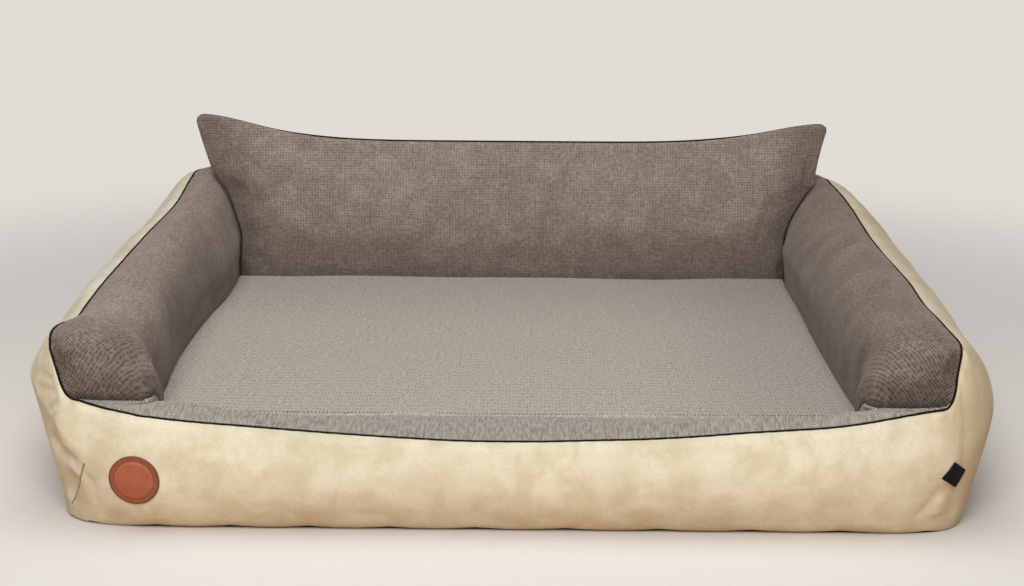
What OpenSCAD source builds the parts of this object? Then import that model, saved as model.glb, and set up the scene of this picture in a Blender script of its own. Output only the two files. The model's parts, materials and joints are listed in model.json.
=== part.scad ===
// Orthopedic pet bed: a stuffed frame with a low entry at the front, a foam
// mattress that lies in it, and a loose back cushion that stands behind the
// mattress. Millimetres, +Z up. The origin is on the floor, at the middle of
// the footprint, +X to the right and +Y to the rear.

/* [Overall] */
// Width across the fullest part of the two side bolsters
bed_w = 1140; // [1080:10:1300]
// Depth from the front wall to the rear wall
bed_d = 920; // [820:10:1080]

/* [Nest] */
// Clear width between the side bolsters at the rear wall
nest_w = 822; // [740:2:850]
// How much wider the nest is on each side at the front
nest_splay = 12; // [0:1:20]
// How far the front edge of the nest bows outward at its middle
nest_bow = 20; // [10:1:45]
// Depth of the nook behind the mattress that the back cushion stands in
nook_d = 98; // [94:2:130]
// Radius of the corners of the nest
nest_r = 18; // [16:1:24]

/* [Side bolsters] */
// Height of the crest at the front end
side_crest_front_h = 237; // [215:1:262]
// Height of the crest at the rear end
side_crest_rear_h = 262; // [255:1:285]
// Height of the piping at the front end
side_rim_front_h = 211; // [190:1:225]
// Height of the piping at the rear end
side_rim_rear_h = 247; // [235:1:262]
// Height of the fullest part of the outer wall
side_bulge_h = 135; // [100:5:160]
// How far the crest lies inside the fullest part
side_crest_in = 104; // [92:1:112]
// How far the piping lies inside the fullest part
side_rim_in = 68; // [60:1:80]
// How far the foot lies inside the fullest part
side_foot_in = 55; // [40:1:70]
// How much the two ends are slimmer than the fullest part
side_taper = 15; // [5:1:25]
// How far the stitched dart draws in the front left corner
dart_in = 8; // [0:1:10]

/* [Front wall] */
// Thickness of the front wall at the middle
front_t = 94; // [80:1:104]
// Height of the piping at the middle
front_rim_h = 110; // [104:1:126]
// How much the piping climbs from the middle to the corner
front_rise = 29; // [10:1:34]
// Height of the crest over the piping
front_crown = 5; // [4:0.5:10]
// Height of the fullest part
front_bulge_h = 58; // [45:1:75]
// How far the piping lies inside the fullest part
front_rim_in = 15; // [8:1:25]
// How far the foot lies inside the fullest part
front_foot_in = 28; // [15:1:40]

/* [Rear wall] */
// Thickness of the rear wall
rear_t = 54; // [50:1:70]
// Height of the piping
rear_rim_h = 256; // [235:1:268]
// Height of the crest over the piping
rear_crown = 9; // [4:0.5:15]
// Height of the fullest part
rear_bulge_h = 130; // [100:5:170]
// How far the piping lies inside the fullest part
rear_rim_in = 20; // [15:1:24]
// How far the foot lies inside the fullest part
rear_foot_in = 15; // [8:1:25]

/* [Covers] */
// Thickness of the upholstery cloth
cover_t = 2; // [1.4:0.1:2.4]
// Thickness of the non-slip base cloth
base_t = 2; // [1.5:0.1:3]
// How far the base cloth shows past the foot of the outer wall
base_lip = 1.5; // [0.5:0.5:3]
// Diameter of the piping
piping_d = 4.8; // [4:0.2:5.4]

/* [Mattress] */
// Height of the mattress over the base cloth
mattress_h = 110; // [98:1:114]
// Height of the memory foam layer
memory_foam_h = 30; // [20:1:45]
// Radius of the rolled upper and lower edges
mattress_roll = 10; // [6:1:14]
// Crown of the upper face
mattress_crown = 3; // [1:0.5:5]

/* [Back cushion] */
// Height at the middle of the upper edge, over the base cloth
cushion_h = 309; // [290:1:330]
// How much higher the ears are than the middle
ear_rise = 36; // [15:1:45]
// Width across the ears
ear_w = 952; // [930:2:960]
// Thickness at the fullest part
cushion_t = 80; // [70:1:84]
// How far the upper edge leans back from the foot
cushion_lean = 6; // [0:1:10]

/* [Patch and tag] */
// Diameter of the leather patch
patch_d = 57; // [40:1:64]
// Thickness of the leather patch
patch_t = 2; // [1.2:0.1:3]
// Distance of the patch's middle from the middle of the bed
patch_x = 411; // [360:1:415]
// Height of the patch's middle
patch_h = 65; // [55:1:75]
// Width of the woven tag
tag_w = 22; // [14:1:26]
// Length of the woven tag
tag_l = 24; // [18:1:30]
// Thickness of the woven tag
tag_t = 1.2; // [0.8:0.1:2]
// Height of the tag's middle
tag_h = 75; // [50:1:80]

/* [Zips] */
// Width of each tape
tape_w = 13; // [10:1:16]
// Thickness of the tapes
tape_t = 0.8; // [0.6:0.1:1]
// Length of one tooth and its gap
tooth_pitch = 4; // [3:0.5:6]
// Length of the teeth in the frame's zip
frame_zip_l = 640; // [400:20:680]
// Length of the teeth in the mattress's zip
mattress_zip_l = 640; // [400:20:680]
// Length of the teeth in the cushion's zip
cushion_zip_l = 400; // [300:20:480]
// Length of a slider
slider_l = 12; // [10:1:15]
// Length of a pull tab from its pin
pull_l = 18; // [14:1:19]

/* [Clearances] */
// Gap between the mattress and the walls of the nest
mattress_gap = 1; // [0.5:0.5:4]
// Gap between the mattress and the back cushion
cushion_gap = 9.5; // [9:0.5:14]
// Gap between pieces that rest on each other
seat_gap = 0.3; // [0.2:0.05:0.5]
// Gap between a cover and the filling inside it
fill_gap = 0.5; // [0.4:0.1:0.8]

/* [Hidden] */

beige = "#d9c69a";
taupe = "#7d6e65";
taupe_light = "#978a7e";
dark = "#241d1b";
foam_grey = "#c9ccd1";
foam_blue = "#a9c3d6";
fibre_white = "#eeeeea";
leather = "#b05a35";
zip_black = "#1c1c1e";

half_w = bed_w / 2;
half_d = bed_d / 2;
floor_z = base_t + seat_gap;
pipe_r = piping_d / 2;
pipe_clear = pipe_r + fill_gap;
fill_depth = cover_t + fill_gap;

// The sections of the frame stand on a spine, a rectangle in plan. Along its
// edges they face straight out; at its corners they fan round from the side
// (angle 0) to the front or the rear (angle 90).
spine_x = nest_w / 2 - nest_r;
spine_front = half_d - front_t - nest_r - nest_bow;
spine_rear = half_d - rear_t - nest_r;

// Seams between the panels, as angles of the fans
front_seam = 50;
rear_seam = 45;

// Fullness of each curve: 1 is a straight line and 2 an ellipse
outer_full = 1.8;
foot_full = 1.55;
crest_full = 1.35;
inner_full = 1.25;

// Squareness in plan of each line where it turns a corner: 2 is an ellipse
nest_turn = 2.4;
crest_turn = 2.6;
front_rim_turn = 8;
rear_rim_turn = 3.2;
fullest_turn = 2.5;
foot_turn = 3.6;

// Angles over which a fan passes from a side's heights to an end wall's
front_pass = [34, 54];
front_crest_pass = [30, 64];
rear_pass = [15, 75];

// How the lines between the seams lie
rear_rim_draw = 15;
front_crest_share = 0.62;
rear_crest_in = 12;
corner_lip = 14;
side_full_over_mattress = 42;
front_full_under_rim = 20;
rear_full_under_rim = 56;

function lerp(a, b, k) = a + (b - a) * k;
function clamp01(k) = min(1, max(0, k));
function smooth(k) = let(c = clamp01(k)) c * c * (3 - 2 * c);

// A station is [x, y, side sign, end sign, fan angle]
function station_dir(s) = [s[2] * cos(s[4]), s[3] * sin(s[4])];
function corner_r(side, end, angle, fullness) =
    pow(pow(cos(angle) / side, fullness) + pow(sin(angle) / end, fullness), -1 / fullness);
function at_front(s) = s[3] < 0;
// Position along a side, from 0 at the front to 1 at the rear
function along(s) = clamp01((s[1] + spine_front) / (spine_front + spine_rear));
// How far a station has turned from the side to the front or rear wall
function passed(s, span) = smooth((s[4] - span[0]) / (span[1] - span[0]));
function turned(s) = passed(s, at_front(s) ? front_pass : rear_pass);
// Position across the front, from 0 at the middle to 1 at the corner
function across(s) = clamp01(abs(s[0]) / spine_x);

// The dart's pull, strongest at the front left corner: over the fullest part it
// lifts the wall's widest line, and below it the wall runs flatter
dart_reach = 220;
dart_lift = 3;
dart_flat = 1 / 16;
least_swell = 7;
function near_dart(s) =
    at_front(s) && s[2] < 0
    ? smooth((90 - s[4]) / 60) * smooth(1 - (s[1] + spine_front) / dart_reach) : 0;

// Distances from the spine, outward: nest wall, crest, piping, fullest part, foot
side_out = half_w - spine_x;
front_out = half_d - spine_front;
rear_out = half_d - spine_rear;
function nest_side(s) = nest_r + nest_splay * (1 - along(s));
function nest_at(s) =
    corner_r(nest_side(s), at_front(s) ? nest_r + nest_bow * (1 - pow(across(s), 2)) : nest_r, s[4], nest_turn);
function crest_at(s) =
    corner_r(side_out - side_crest_in,
             at_front(s) ? lerp(nest_at([s[0], s[1], s[2], s[3], 90]), front_out - front_rim_in, front_crest_share)
                         : rear_out - rear_rim_in - rear_crest_in,
             s[4], crest_turn);
function rim_side(s) = side_out - side_rim_in - rear_rim_draw * pow(along(s), 3);
function rim_at(s) =
    corner_r(rim_side(s), at_front(s) ? front_out - front_rim_in : rear_out - rear_rim_in,
             s[4], at_front(s) ? front_rim_turn : rear_rim_turn);
function bulge_at(s) =
    max(rim_at(s) + least_swell,
        corner_r(side_out - side_taper * pow(2 * along(s) - 1, 2), at_front(s) ? front_out : rear_out,
                 s[4], fullest_turn)
        - dart_in * near_dart(s) / 2);
function foot_at(s) =
    corner_r(side_out - side_foot_in, at_front(s) ? front_out - front_foot_in : rear_out - rear_foot_in,
             s[4], foot_turn) - dart_in * near_dart(s) / 2;

// Heights of the same lines
function end_rim_h(s) = at_front(s) ? front_rim_h + front_rise * pow(across(s), 2) : rear_rim_h;
function side_rim_h(s) = lerp(side_rim_front_h, side_rim_rear_h, pow(along(s), 2.2));
function front_lip_h(s) = at_front(s) ? corner_lip * smooth((90 - s[4]) / front_seam) : 0;
function rim_h(s) = lerp(side_rim_h(s), end_rim_h(s) + front_lip_h(s), turned(s));
function side_crest_h(s) = lerp(side_crest_front_h, side_crest_rear_h, pow(along(s), 1.5));
function crest_h(s) =
    lerp(side_crest_h(s), end_rim_h(s) + front_lip_h(s) + (at_front(s) ? front_crown : rear_crown),
         passed(s, at_front(s) ? front_crest_pass : rear_pass));
function bulge_h(s) =
    lerp(side_bulge_h, at_front(s) ? front_bulge_h : rear_bulge_h, smooth(s[4] / 90))
    + dart_lift * dart_in * near_dart(s);
function inner_h(s) =
    lerp(mattress_h + side_full_over_mattress,
         at_front(s) ? front_rim_h - front_full_under_rim : rear_rim_h - rear_full_under_rim,
         passed(s, rear_pass));

// Room that the piping needs along the height, more where it runs steeply
function rim_point(s) = [each [s[0], s[1]] + station_dir(s) * rim_at(s), rim_h(s)];
function turn(s, step) = [s[0], s[1], s[2], s[3], min(90, max(0, s[4] + step))];
function rim_steepness(s) =
    let(a = rim_point(turn(s, -1)), b = rim_point(turn(s, 1)), run = norm([b[0] - a[0], b[1] - a[1]]))
    s[4] < 0.5 || s[4] > 89.5 ? 1 : sqrt(1 + pow((b[2] - a[2]) / run, 2));
function pipe_room(s) = pipe_clear * rim_steepness(s);

// Fullness of the outer wall below its fullest part
function foot_fullness(s) = foot_full - dart_in * dart_flat * near_dart(s);

function at(s, out, h) = [each [s[0], s[1]] + station_dir(s) * out, h];

// Outer wall, from the piping over the fullest part to the foot, at a depth
// below the cloth's face
upper_steps = 4;
lower_steps = 4;
lip_drop = 0.5;
function outer_start(s) = asin(pow(pipe_clear / (bulge_at(s) - rim_at(s)), outer_full / 2));
function outer_line(s, depth) =
    let(rim = rim_at(s), full = bulge_at(s), foot = foot_at(s), top = rim_h(s), mid = bulge_h(s), a0 = outer_start(s),
        power = 2 / foot_fullness(s))
    concat(
        [at(s, rim + pipe_clear, top - depth - lip_drop)],
        [for (i = [1:upper_steps])
            let(a = lerp(a0, 90, i / upper_steps))
            at(s, rim + (full - depth - rim) * pow(sin(a), 2 / outer_full),
               mid + (top - depth - mid) * pow(cos(a), 2 / outer_full))],
        [for (i = [1:lower_steps])
            let(a = 90 * i / lower_steps)
            at(s, foot + (full - depth - foot) * pow(cos(a), power),
               mid - (mid - depth - floor_z) * pow(sin(a), power))]
    );

// Inner wall, from the piping over the crest to the foot in the nest
rise_steps = 3;
drop_steps = 4;
function inner_start(s) =
    let(up = crest_h(s) - rim_h(s), in = rim_at(s) - crest_at(s), room = pipe_room(s))
    min(acos(pow(max(0, 1 - pipe_clear / in), crest_full / 2)),
        room < up ? asin(pow(room / up, crest_full / 2)) : 90);
function inner_line(s, depth) =
    let(rim = rim_at(s), crest = crest_at(s), nest = nest_at(s), top = crest_h(s), low = rim_h(s), mid = inner_h(s),
        a0 = inner_start(s))
    concat(
        [for (i = [0:rise_steps])
            let(a = lerp(a0, 90, i / rise_steps))
            at(s, crest + (rim - depth - crest) * pow(cos(a), 2 / crest_full),
               low + (top - depth - low) * pow(sin(a), 2 / crest_full))],
        [for (i = [1:drop_steps])
            let(a = 90 * i / drop_steps)
            at(s, crest - (crest - nest - depth) * pow(sin(a), 2 / inner_full),
               mid + (top - depth - mid) * pow(cos(a), 2 / inner_full))],
        [at(s, nest + depth, floor_z)]
    );

// The filling's section: outer wall, sole, inner wall, and a groove for the piping
groove_share = 1.15;
sole_in = 6;
sole_bevel = 3;
function filling_line(s) =
    let(outer = outer_line(s, fill_depth), inner = inner_line(s, fill_depth), last = len(inner) - 1,
        rim = rim_at(s), top = rim_h(s), room = groove_share * pipe_room(s), nest = nest_at(s) + fill_depth)
    concat(
        outer,
        [at(s, foot_at(s) - sole_in, floor_z), at(s, nest + sole_bevel, floor_z), at(s, nest, floor_z + sole_bevel)],
        [for (i = [last - 1:-1:0]) inner[i]],
        [at(s, rim - pipe_clear, top - room), at(s, rim + pipe_clear, top - room)]
    );

// Fans and runs of stations, counterclockwise seen from above
function fan(sx, sy, angles) = [for (a = angles) [sx * spine_x, sy < 0 ? -spine_front : spine_rear, sx, sy, a]];
function reverse(list) = [for (i = [len(list) - 1:-1:0]) list[i]];
side_fan_steps = 7;
front_fan_steps = 5;
rear_fan_steps = 3;
front_steps = 8;
rear_steps = 4;
side_steps = 6;
front_fan_side = [for (i = [0:side_fan_steps]) front_seam * (1 - pow(1 - i / side_fan_steps, 1.6))];
front_fan_end = [for (i = [0:front_fan_steps]) lerp(front_seam, 90, pow(i / front_fan_steps, 1.4))];
rear_fan_side = [for (i = [0:rear_fan_steps]) lerp(0, rear_seam, i / rear_fan_steps)];
rear_fan_end = [for (i = [0:rear_fan_steps]) lerp(rear_seam, 90, i / rear_fan_steps)];
function side_between(sx) =
    [for (i = [1:side_steps - 1])
        let(y = lerp(-spine_front, spine_rear, i / side_steps)) [sx * spine_x, y, sx, y < 0 ? -1 : 1, 0]];
front_run = concat(
    fan(-1, -1, front_fan_end),
    [for (i = [1:front_steps - 1]) [lerp(-spine_x, spine_x, i / front_steps), -spine_front, 1, -1, 90]],
    fan(1, -1, reverse(front_fan_end)));
right_run = concat(fan(1, -1, reverse(front_fan_side)), side_between(1), fan(1, 1, rear_fan_side));
rear_run = concat(
    fan(1, 1, rear_fan_end),
    [for (i = [1:rear_steps - 1]) [lerp(spine_x, -spine_x, i / rear_steps), spine_rear, 1, 1, 90]],
    fan(-1, 1, reverse(rear_fan_end)));
left_run = concat(fan(-1, 1, reverse(rear_fan_side)), reverse(side_between(-1)), fan(-1, -1, front_fan_side));
function but_last(list) = [for (i = [0:len(list) - 2]) list[i]];
whole_ring = concat(but_last(front_run), but_last(right_run), but_last(rear_run), but_last(left_run));

// A solid between two grids of points of the same size, front and back
module sheet_solid(face, back) {
    rows = len(face);
    cols = len(face[0]);
    count = rows * cols;
    function f(i, j) = i * cols + j;
    function b(i, j) = count + i * cols + j;
    polyhedron(
        points = [for (g = [face, back]) for (row = g) each row],
        faces = concat(
            [for (i = [0:rows - 2]) for (j = [0:cols - 2]) each [
                [f(i, j), f(i, j + 1), f(i + 1, j + 1)], [f(i, j), f(i + 1, j + 1), f(i + 1, j)],
                [b(i, j), b(i + 1, j + 1), b(i, j + 1)], [b(i, j), b(i + 1, j), b(i + 1, j + 1)]]],
            [for (i = [0:rows - 2]) each [
                [f(i, 0), f(i + 1, 0), b(i + 1, 0)], [f(i, 0), b(i + 1, 0), b(i, 0)],
                [f(i, cols - 1), b(i + 1, cols - 1), f(i + 1, cols - 1)],
                [f(i, cols - 1), b(i, cols - 1), b(i + 1, cols - 1)]]],
            [for (j = [0:cols - 2]) each [
                [f(0, j), b(0, j + 1), f(0, j + 1)], [f(0, j), b(0, j), b(0, j + 1)],
                [f(rows - 1, j), f(rows - 1, j + 1), b(rows - 1, j + 1)],
                [f(rows - 1, j), b(rows - 1, j + 1), b(rows - 1, j)]]]));
}

// A solid through a list of closed outlines, capped at both ends
module lofted(rings) {
    rows = len(rings);
    cols = len(rings[0]);
    function p(i, j) = i * cols + j % cols;
    polyhedron(
        points = [for (r = rings) each r],
        faces = concat(
            [for (i = [0:rows - 2]) for (j = [0:cols - 1]) each [
                [p(i, j), p(i + 1, j + 1), p(i, j + 1)], [p(i, j), p(i + 1, j), p(i + 1, j + 1)]]],
            [[for (j = [0:cols - 1]) p(0, j)], [for (j = [cols - 1:-1:0]) p(rows - 1, j)]]));
}

// A closed cord along points, each ring square to the way it runs
module cord_loop(points, outward, radius, sides) {
    count = len(points);
    function tangent(i) =
        let(d = points[(i + 1) % count] - points[(i + count - 1) % count]) d / norm(d);
    function ring(i) =
        let(t = tangent(i), o = outward[i], u0 = o - t * (o * t), u = u0 / norm(u0), v = cross(t, u))
        [for (k = [0:sides - 1]) points[i] + radius * (cos(360 * k / sides) * u + sin(360 * k / sides) * v)];
    rings = [for (i = [0:count - 1]) ring(i)];
    function p(i, k) = (i % count) * sides + k % sides;
    polyhedron(
        points = [for (r = rings) each r],
        faces = [for (i = [0:count - 1]) for (k = [0:sides - 1]) each [
            [p(i, k), p(i + 1, k + 1), p(i, k + 1)], [p(i, k), p(i + 1, k), p(i + 1, k + 1)]]]);
}

// Frame covers

module outer_panel(run) {
    color(beige) sheet_solid([for (s = run) outer_line(s, cover_t)], [for (s = run) outer_line(s, 0)]);
}

module inner_panel(run) {
    color(taupe) sheet_solid(
        [for (s = run) reverse(inner_line(s, cover_t))],
        [for (s = run) reverse(inner_line(s, 0))]);
}

module filling(run, tint) {
    color(tint) lofted([for (s = run) filling_line(s)]);
}

module base_panel() {
    color(dark) linear_extrude(base_t)
        polygon([for (s = whole_ring) [s[0], s[1]] + station_dir(s) * (foot_at(s) + base_lip)]);
}

module front_outer_panel() { outer_panel(front_run); }
module left_outer_panel() { outer_panel(left_run); }
module right_outer_panel() { outer_panel(right_run); }
module rear_outer_panel() { outer_panel(rear_run); }
module front_inner_panel() { inner_panel(front_run); }
module left_inner_panel() { inner_panel(left_run); }
module right_inner_panel() { inner_panel(right_run); }
module rear_inner_panel() { inner_panel(rear_run); }
module front_wall_foam() { filling(front_run, foam_grey); }
module left_bolster_filling() { filling(left_run, fibre_white); }
module right_bolster_filling() { filling(right_run, fibre_white); }
module rear_wall_foam() { filling(rear_run, foam_grey); }

module rim_piping() {
    color(dark) cord_loop(
        [for (s = whole_ring) rim_point(s)],
        [for (s = whole_ring) [each station_dir(s), 0]],
        pipe_r, 8);
}

// The patch and the tag lie on the outer wall, a seat away from the cloth
module wall_veneer(run, thickness) {
    sheet_solid(
        [for (s = run) outer_line(s, -seat_gap)],
        [for (s = run) outer_line(s, -seat_gap - thickness)]);
}

patch_run = [for (i = [0:front_fan_steps + 2]) front_run[i]];
module leather_patch() {
    color(leather) intersection() {
        wall_veneer(patch_run, patch_t);
        translate([-patch_x, -half_d, patch_h]) rotate([90, 0, 0])
            cylinder(d = patch_d, h = front_t, center = true, $fn = 48);
    }
}

tag_angle = 49;
tag_tilt = 33;
tag_run = concat(but_last(fan(1, -1, reverse(front_fan_end))), fan(1, -1, reverse(front_fan_side)));
tag_station = [spine_x, -spine_front, 1, -1, tag_angle];
module woven_tag() {
    color(dark) intersection() {
        wall_veneer(tag_run, tag_t);
        translate(at(tag_station, bulge_at(tag_station), tag_h))
            rotate([0, 0, 90 - tag_angle]) rotate([0, tag_tilt, 0])
            cube([tag_l, nest_r * 2, tag_w], center = true);
    }
}

// Zips. Each is drawn in its own frame: X along the teeth, Y out of the cloth,
// Z across the tapes. The slider starts at the +X end and its tab lies along -X.
tooth_reach = 1;
teeth_half = 2.6;
tooth_play = 0.3;
tape_inner = 1.5;
tape_over = 12;
stop_l = 2.5;
tape_top = seat_gap + tape_t;
teeth_low = tape_top + 0.15;
teeth_top = teeth_low + 1.5;
slide_play = 0.25;
plate_low = teeth_top + slide_play;
plate_t = 1.2;
flange_t = 1.3;
slider_half = teeth_half + slide_play + flange_t;
pin_r = 0.7;
pin_y = plate_low + plate_t + 2;
eye_r = 1.7;
eye_play = 0.2;
eye_half = 1.6;
lug_t = 0.9;
lug_rim = 0.8;
lug_half = eye_half + 0.2;
pull_w = 6.4;
pull_t = 1.3;
pull_hole = 2.9;

module zip_tapes(length) {
    color(zip_black) for (side = [-1, 1])
        translate([-length / 2 - tape_over, seat_gap, side > 0 ? tape_inner : -tape_inner - tape_w])
            cube([length + 2 * tape_over, tape_t, tape_w]);
}

// One row of teeth: a strip with teeth that reach past the middle
function comb(length, shift) =
    let(count = floor(length / tooth_pitch), tooth = (tooth_pitch - tooth_play) / 2, start = -length / 2)
    concat(
        [[start, teeth_half], [start, tooth_reach + tooth_play]],
        [for (i = [0:count - 2]) let(x = start + tooth_pitch * (i + shift) + tooth_play) each [
            [x, tooth_reach + tooth_play], [x, -tooth_reach], [x + tooth - tooth_play / 2, -tooth_reach],
            [x + tooth - tooth_play / 2, tooth_reach + tooth_play]]],
        [[-start, tooth_reach + tooth_play], [-start, teeth_half]]);

module zip_teeth(length) {
    color(zip_black) {
        translate([0, teeth_top, 0]) rotate([90, 0, 0])
            linear_extrude(teeth_top - teeth_low) polygon(comb(length, 0.25));
        translate([0, teeth_low, 0]) rotate([-90, 0, 0])
            linear_extrude(teeth_top - teeth_low) polygon(comb(length, 0.75));
        for (end = [-1, 1]) translate([end * (length / 2 + stop_l / 2 + tooth_play), (teeth_low + teeth_top) / 2, 0])
            cube([stop_l, teeth_top - teeth_low, 2 * teeth_half], center = true);
    }
}

// The slider bridges the teeth: a plate with two flanges, and lugs that hold the pin
slider_plan = [
    [-slider_l / 2, -slider_half * 0.72], [-slider_l / 4, -slider_half], [slider_l / 4, -slider_half],
    [slider_l / 2, -slider_half], [slider_l / 2, slider_half], [slider_l / 4, slider_half],
    [-slider_l / 4, slider_half], [-slider_l / 2, slider_half * 0.72]];
module zip_slider() {
    color(zip_black) {
        difference() {
            translate([0, plate_low + plate_t, 0]) rotate([90, 0, 0])
                linear_extrude(plate_low + plate_t - tape_top - slide_play) polygon(slider_plan);
            translate([0, (plate_low + tape_top) / 2 - 1, 0])
                cube([slider_l + 2, plate_low - tape_top + 2, 2 * (teeth_half + slide_play)], center = true);
        }
        for (side = [-1, 1])
            translate([-pin_r - lug_rim, plate_low + plate_t - 0.1, side > 0 ? lug_half : -lug_half - lug_t])
            cube([2 * (pin_r + lug_rim), pin_y + pin_r + lug_rim - plate_low - plate_t, lug_t]);
        translate([0, pin_y, 0]) cylinder(r = pin_r, h = 2 * lug_half + 1, center = true, $fn = 24);
    }
}

module zip_pull() {
    neck_l = 4;
    color(zip_black) translate([0, pin_y, 0]) difference() {
        union() {
            cylinder(r = eye_r, h = 2 * eye_half, center = true, $fn = 32);
            translate([-neck_l - 1, -pull_t / 2, -eye_half]) cube([neck_l + 1, pull_t, 2 * eye_half]);
            translate([-pull_l + pull_w / 2, -pull_t / 2, -pull_w / 2])
                cube([pull_l - pull_w / 2 - neck_l, pull_t, pull_w]);
            translate([-pull_l + pull_w / 2, pull_t / 2, 0]) rotate([90, 0, 0])
                cylinder(d = pull_w, h = pull_t, $fn = 48);
        }
        cylinder(r = pin_r + eye_play, h = 4 * eye_half, center = true, $fn = 32);
        translate([-pull_l + pull_w / 2, 0, 0]) rotate([90, 0, 0])
            cylinder(d = pull_hole, h = 4 * pull_t, center = true, $fn = 32);
    }
}

// Where each zip's slider starts, clear of its stop
function slider_x(length) = length / 2 - slider_l / 2 - slide_play;

// The frame's zip lies on the flat of the rear wall just above its foot
rear_mid = outer_line([0, spine_rear, 1, 1, 90], 0);
zip_low = rear_mid[upper_steps + 3];
zip_high = rear_mid[upper_steps + 2];
frame_zip_at = (zip_low + zip_high) / 2;
frame_zip_lean = atan2(zip_high[1] - zip_low[1], zip_high[2] - zip_low[2]);
module frame_zip_place() {
    translate([0, frame_zip_at[1], frame_zip_at[2]]) rotate([-frame_zip_lean, 0, 0]) children();
}

module frame_zip_tape() { frame_zip_place() zip_tapes(frame_zip_l); }
module frame_zip_teeth() { frame_zip_place() zip_teeth(frame_zip_l); }
module frame_zip_slider() { frame_zip_place() translate([slider_x(frame_zip_l), 0, 0]) zip_slider(); }
module frame_zip_pull() { frame_zip_place() translate([slider_x(frame_zip_l), 0, 0]) zip_pull(); }

// Mattress

mattress_rear = half_d - rear_t - nook_d;
mattress_low = floor_z;
mattress_top = floor_z + mattress_h - mattress_crown;
mattress_r = nest_r - mattress_gap;
mattress_rear_side = nest_side([spine_x, mattress_rear, 1, 1, 0]) - mattress_gap;
roll = min(mattress_roll, mattress_r - 2);
mattress_mid_y = (mattress_rear - spine_front) / 2;
front_corner_angles = [0, 18, 36, 54, 72, 90];
mattress_front_steps = 8;
mattress_stations = concat(
    fan(-1, -1, front_corner_angles),
    [for (i = [1:mattress_front_steps - 1])
        [lerp(-spine_x, spine_x, i / mattress_front_steps), -spine_front, 1, -1, 90]],
    fan(1, -1, reverse(front_corner_angles)));

function mattress_corner(side) =
    [side * (spine_x + mattress_rear_side - mattress_r), mattress_rear - mattress_r];
// The mattress's outline in plan, drawn in from the wall of the nest
function mattress_outline(inset) = concat(
    [for (s = mattress_stations) [s[0], s[1]] + station_dir(s) * (nest_at(s) - mattress_gap - inset)],
    [for (a = [0:18:90]) mattress_corner(1) + (mattress_r - inset) * [cos(a), sin(a)]],
    [for (a = [90:18:180]) mattress_corner(-1) + (mattress_r - inset) * [cos(a), sin(a)]]);
function mattress_ring(inset, share, h) =
    [for (p = mattress_outline(inset)) [p[0] * share, mattress_mid_y + (p[1] - mattress_mid_y) * share, h]];

// Rolled edge, at a depth below the cloth's face
roll_angles = [0, 30, 60, 90];
crown_shares = [0.8, 0.5, 0.2];
function roll_in(depth, a) = depth + (roll - depth) * (1 - cos(a));
function upper_rings(depth) = concat(
    [for (a = roll_angles) mattress_ring(roll_in(depth, a), 1, mattress_top - roll + (roll - depth) * sin(a))],
    [for (k = crown_shares) mattress_ring(roll, k, mattress_top - depth + mattress_crown * (1 - k * k))]);
function lower_rings(depth) = concat(
    [mattress_ring(roll, 0.5, mattress_low + depth)],
    [for (a = reverse(roll_angles))
        mattress_ring(roll_in(depth, a), 1, mattress_low + roll - (roll - depth) * sin(a))]);

module mattress_top_panel() { color(taupe_light) lofted(concat(reverse(upper_rings(cover_t)), upper_rings(0))); }
module mattress_bottom_panel() { color(dark) lofted(concat(lower_rings(0), reverse(lower_rings(cover_t)))); }

module mattress_side_band() {
    color(taupe_light) translate([0, 0, mattress_low + roll]) linear_extrude(mattress_top - mattress_low - 2 * roll)
        difference() {
            polygon(mattress_outline(0));
            polygon(mattress_outline(cover_t));
        }
}

foam_split = mattress_top - memory_foam_h;
module memory_foam_layer() {
    color(foam_blue) lofted(concat([mattress_ring(fill_depth, 1, foam_split)], upper_rings(fill_depth)));
}
module support_foam_block() {
    color(foam_grey) lofted(concat(lower_rings(fill_depth), [mattress_ring(fill_depth, 1, foam_split - seat_gap)]));
}

mattress_zip_h = mattress_low + roll + tape_inner + tape_w + 1;
module mattress_zip_place() { translate([0, mattress_rear, mattress_zip_h]) children(); }

module mattress_zip_tape() { mattress_zip_place() zip_tapes(mattress_zip_l); }
module mattress_zip_teeth() { mattress_zip_place() zip_teeth(mattress_zip_l); }
module mattress_zip_slider() { mattress_zip_place() translate([slider_x(mattress_zip_l), 0, 0]) zip_slider(); }
module mattress_zip_pull() { mattress_zip_place() translate([slider_x(mattress_zip_l), 0, 0]) zip_pull(); }

// Back cushion: two panels sewn at an edge with piping in it. It is slimmer
// between the bolsters and widens over their crests to two ears.

seam_gap = 0.2;
bolster_clear = 3;
edge_drop = 14;
cushion_foot = floor_z + piping_d + seat_gap;
cushion_front = mattress_rear + cushion_gap;
cushion_y = cushion_front + cushion_t / 2;
cushion_half = cushion_t / 2 - cover_t - seam_gap / 2;
bolster_station = [spine_x, cushion_y, 1, 1, 0];
edge_in = piping_d + seat_gap + bolster_clear;
ear_top = floor_z + cushion_h + ear_rise - seat_gap - piping_d;
middle_top = ear_top - ear_rise;

// Inner face of the side bolster at a height, beside the cushion
function bolster_x(h) =
    let(mid = inner_h(bolster_station), top = crest_h(bolster_station), crest = crest_at(bolster_station),
        nest = nest_at(bolster_station), c = pow(clamp01((h - mid) / (top - mid)), inner_full / 2))
    spine_x + crest - (crest - nest) * pow(1 - c * c, 1 / inner_full);
function cushion_edge(h) =
    let(top = crest_h(bolster_station) + edge_drop)
    h < top ? bolster_x(h - edge_drop) - edge_in
            : lerp(bolster_x(top - edge_drop) - edge_in, ear_w / 2 - piping_d,
                   pow((h - top) / (ear_top - top), ear_flare));

ear_power = 3.2;
ear_round = 8;
ear_tip_power = 40;
ear_flare = 0.8;
end_power = 5;
edge_full = 0.55;
crown_full = 0.6;
cushion_cols = 18;
cushion_rows = 10;
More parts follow.
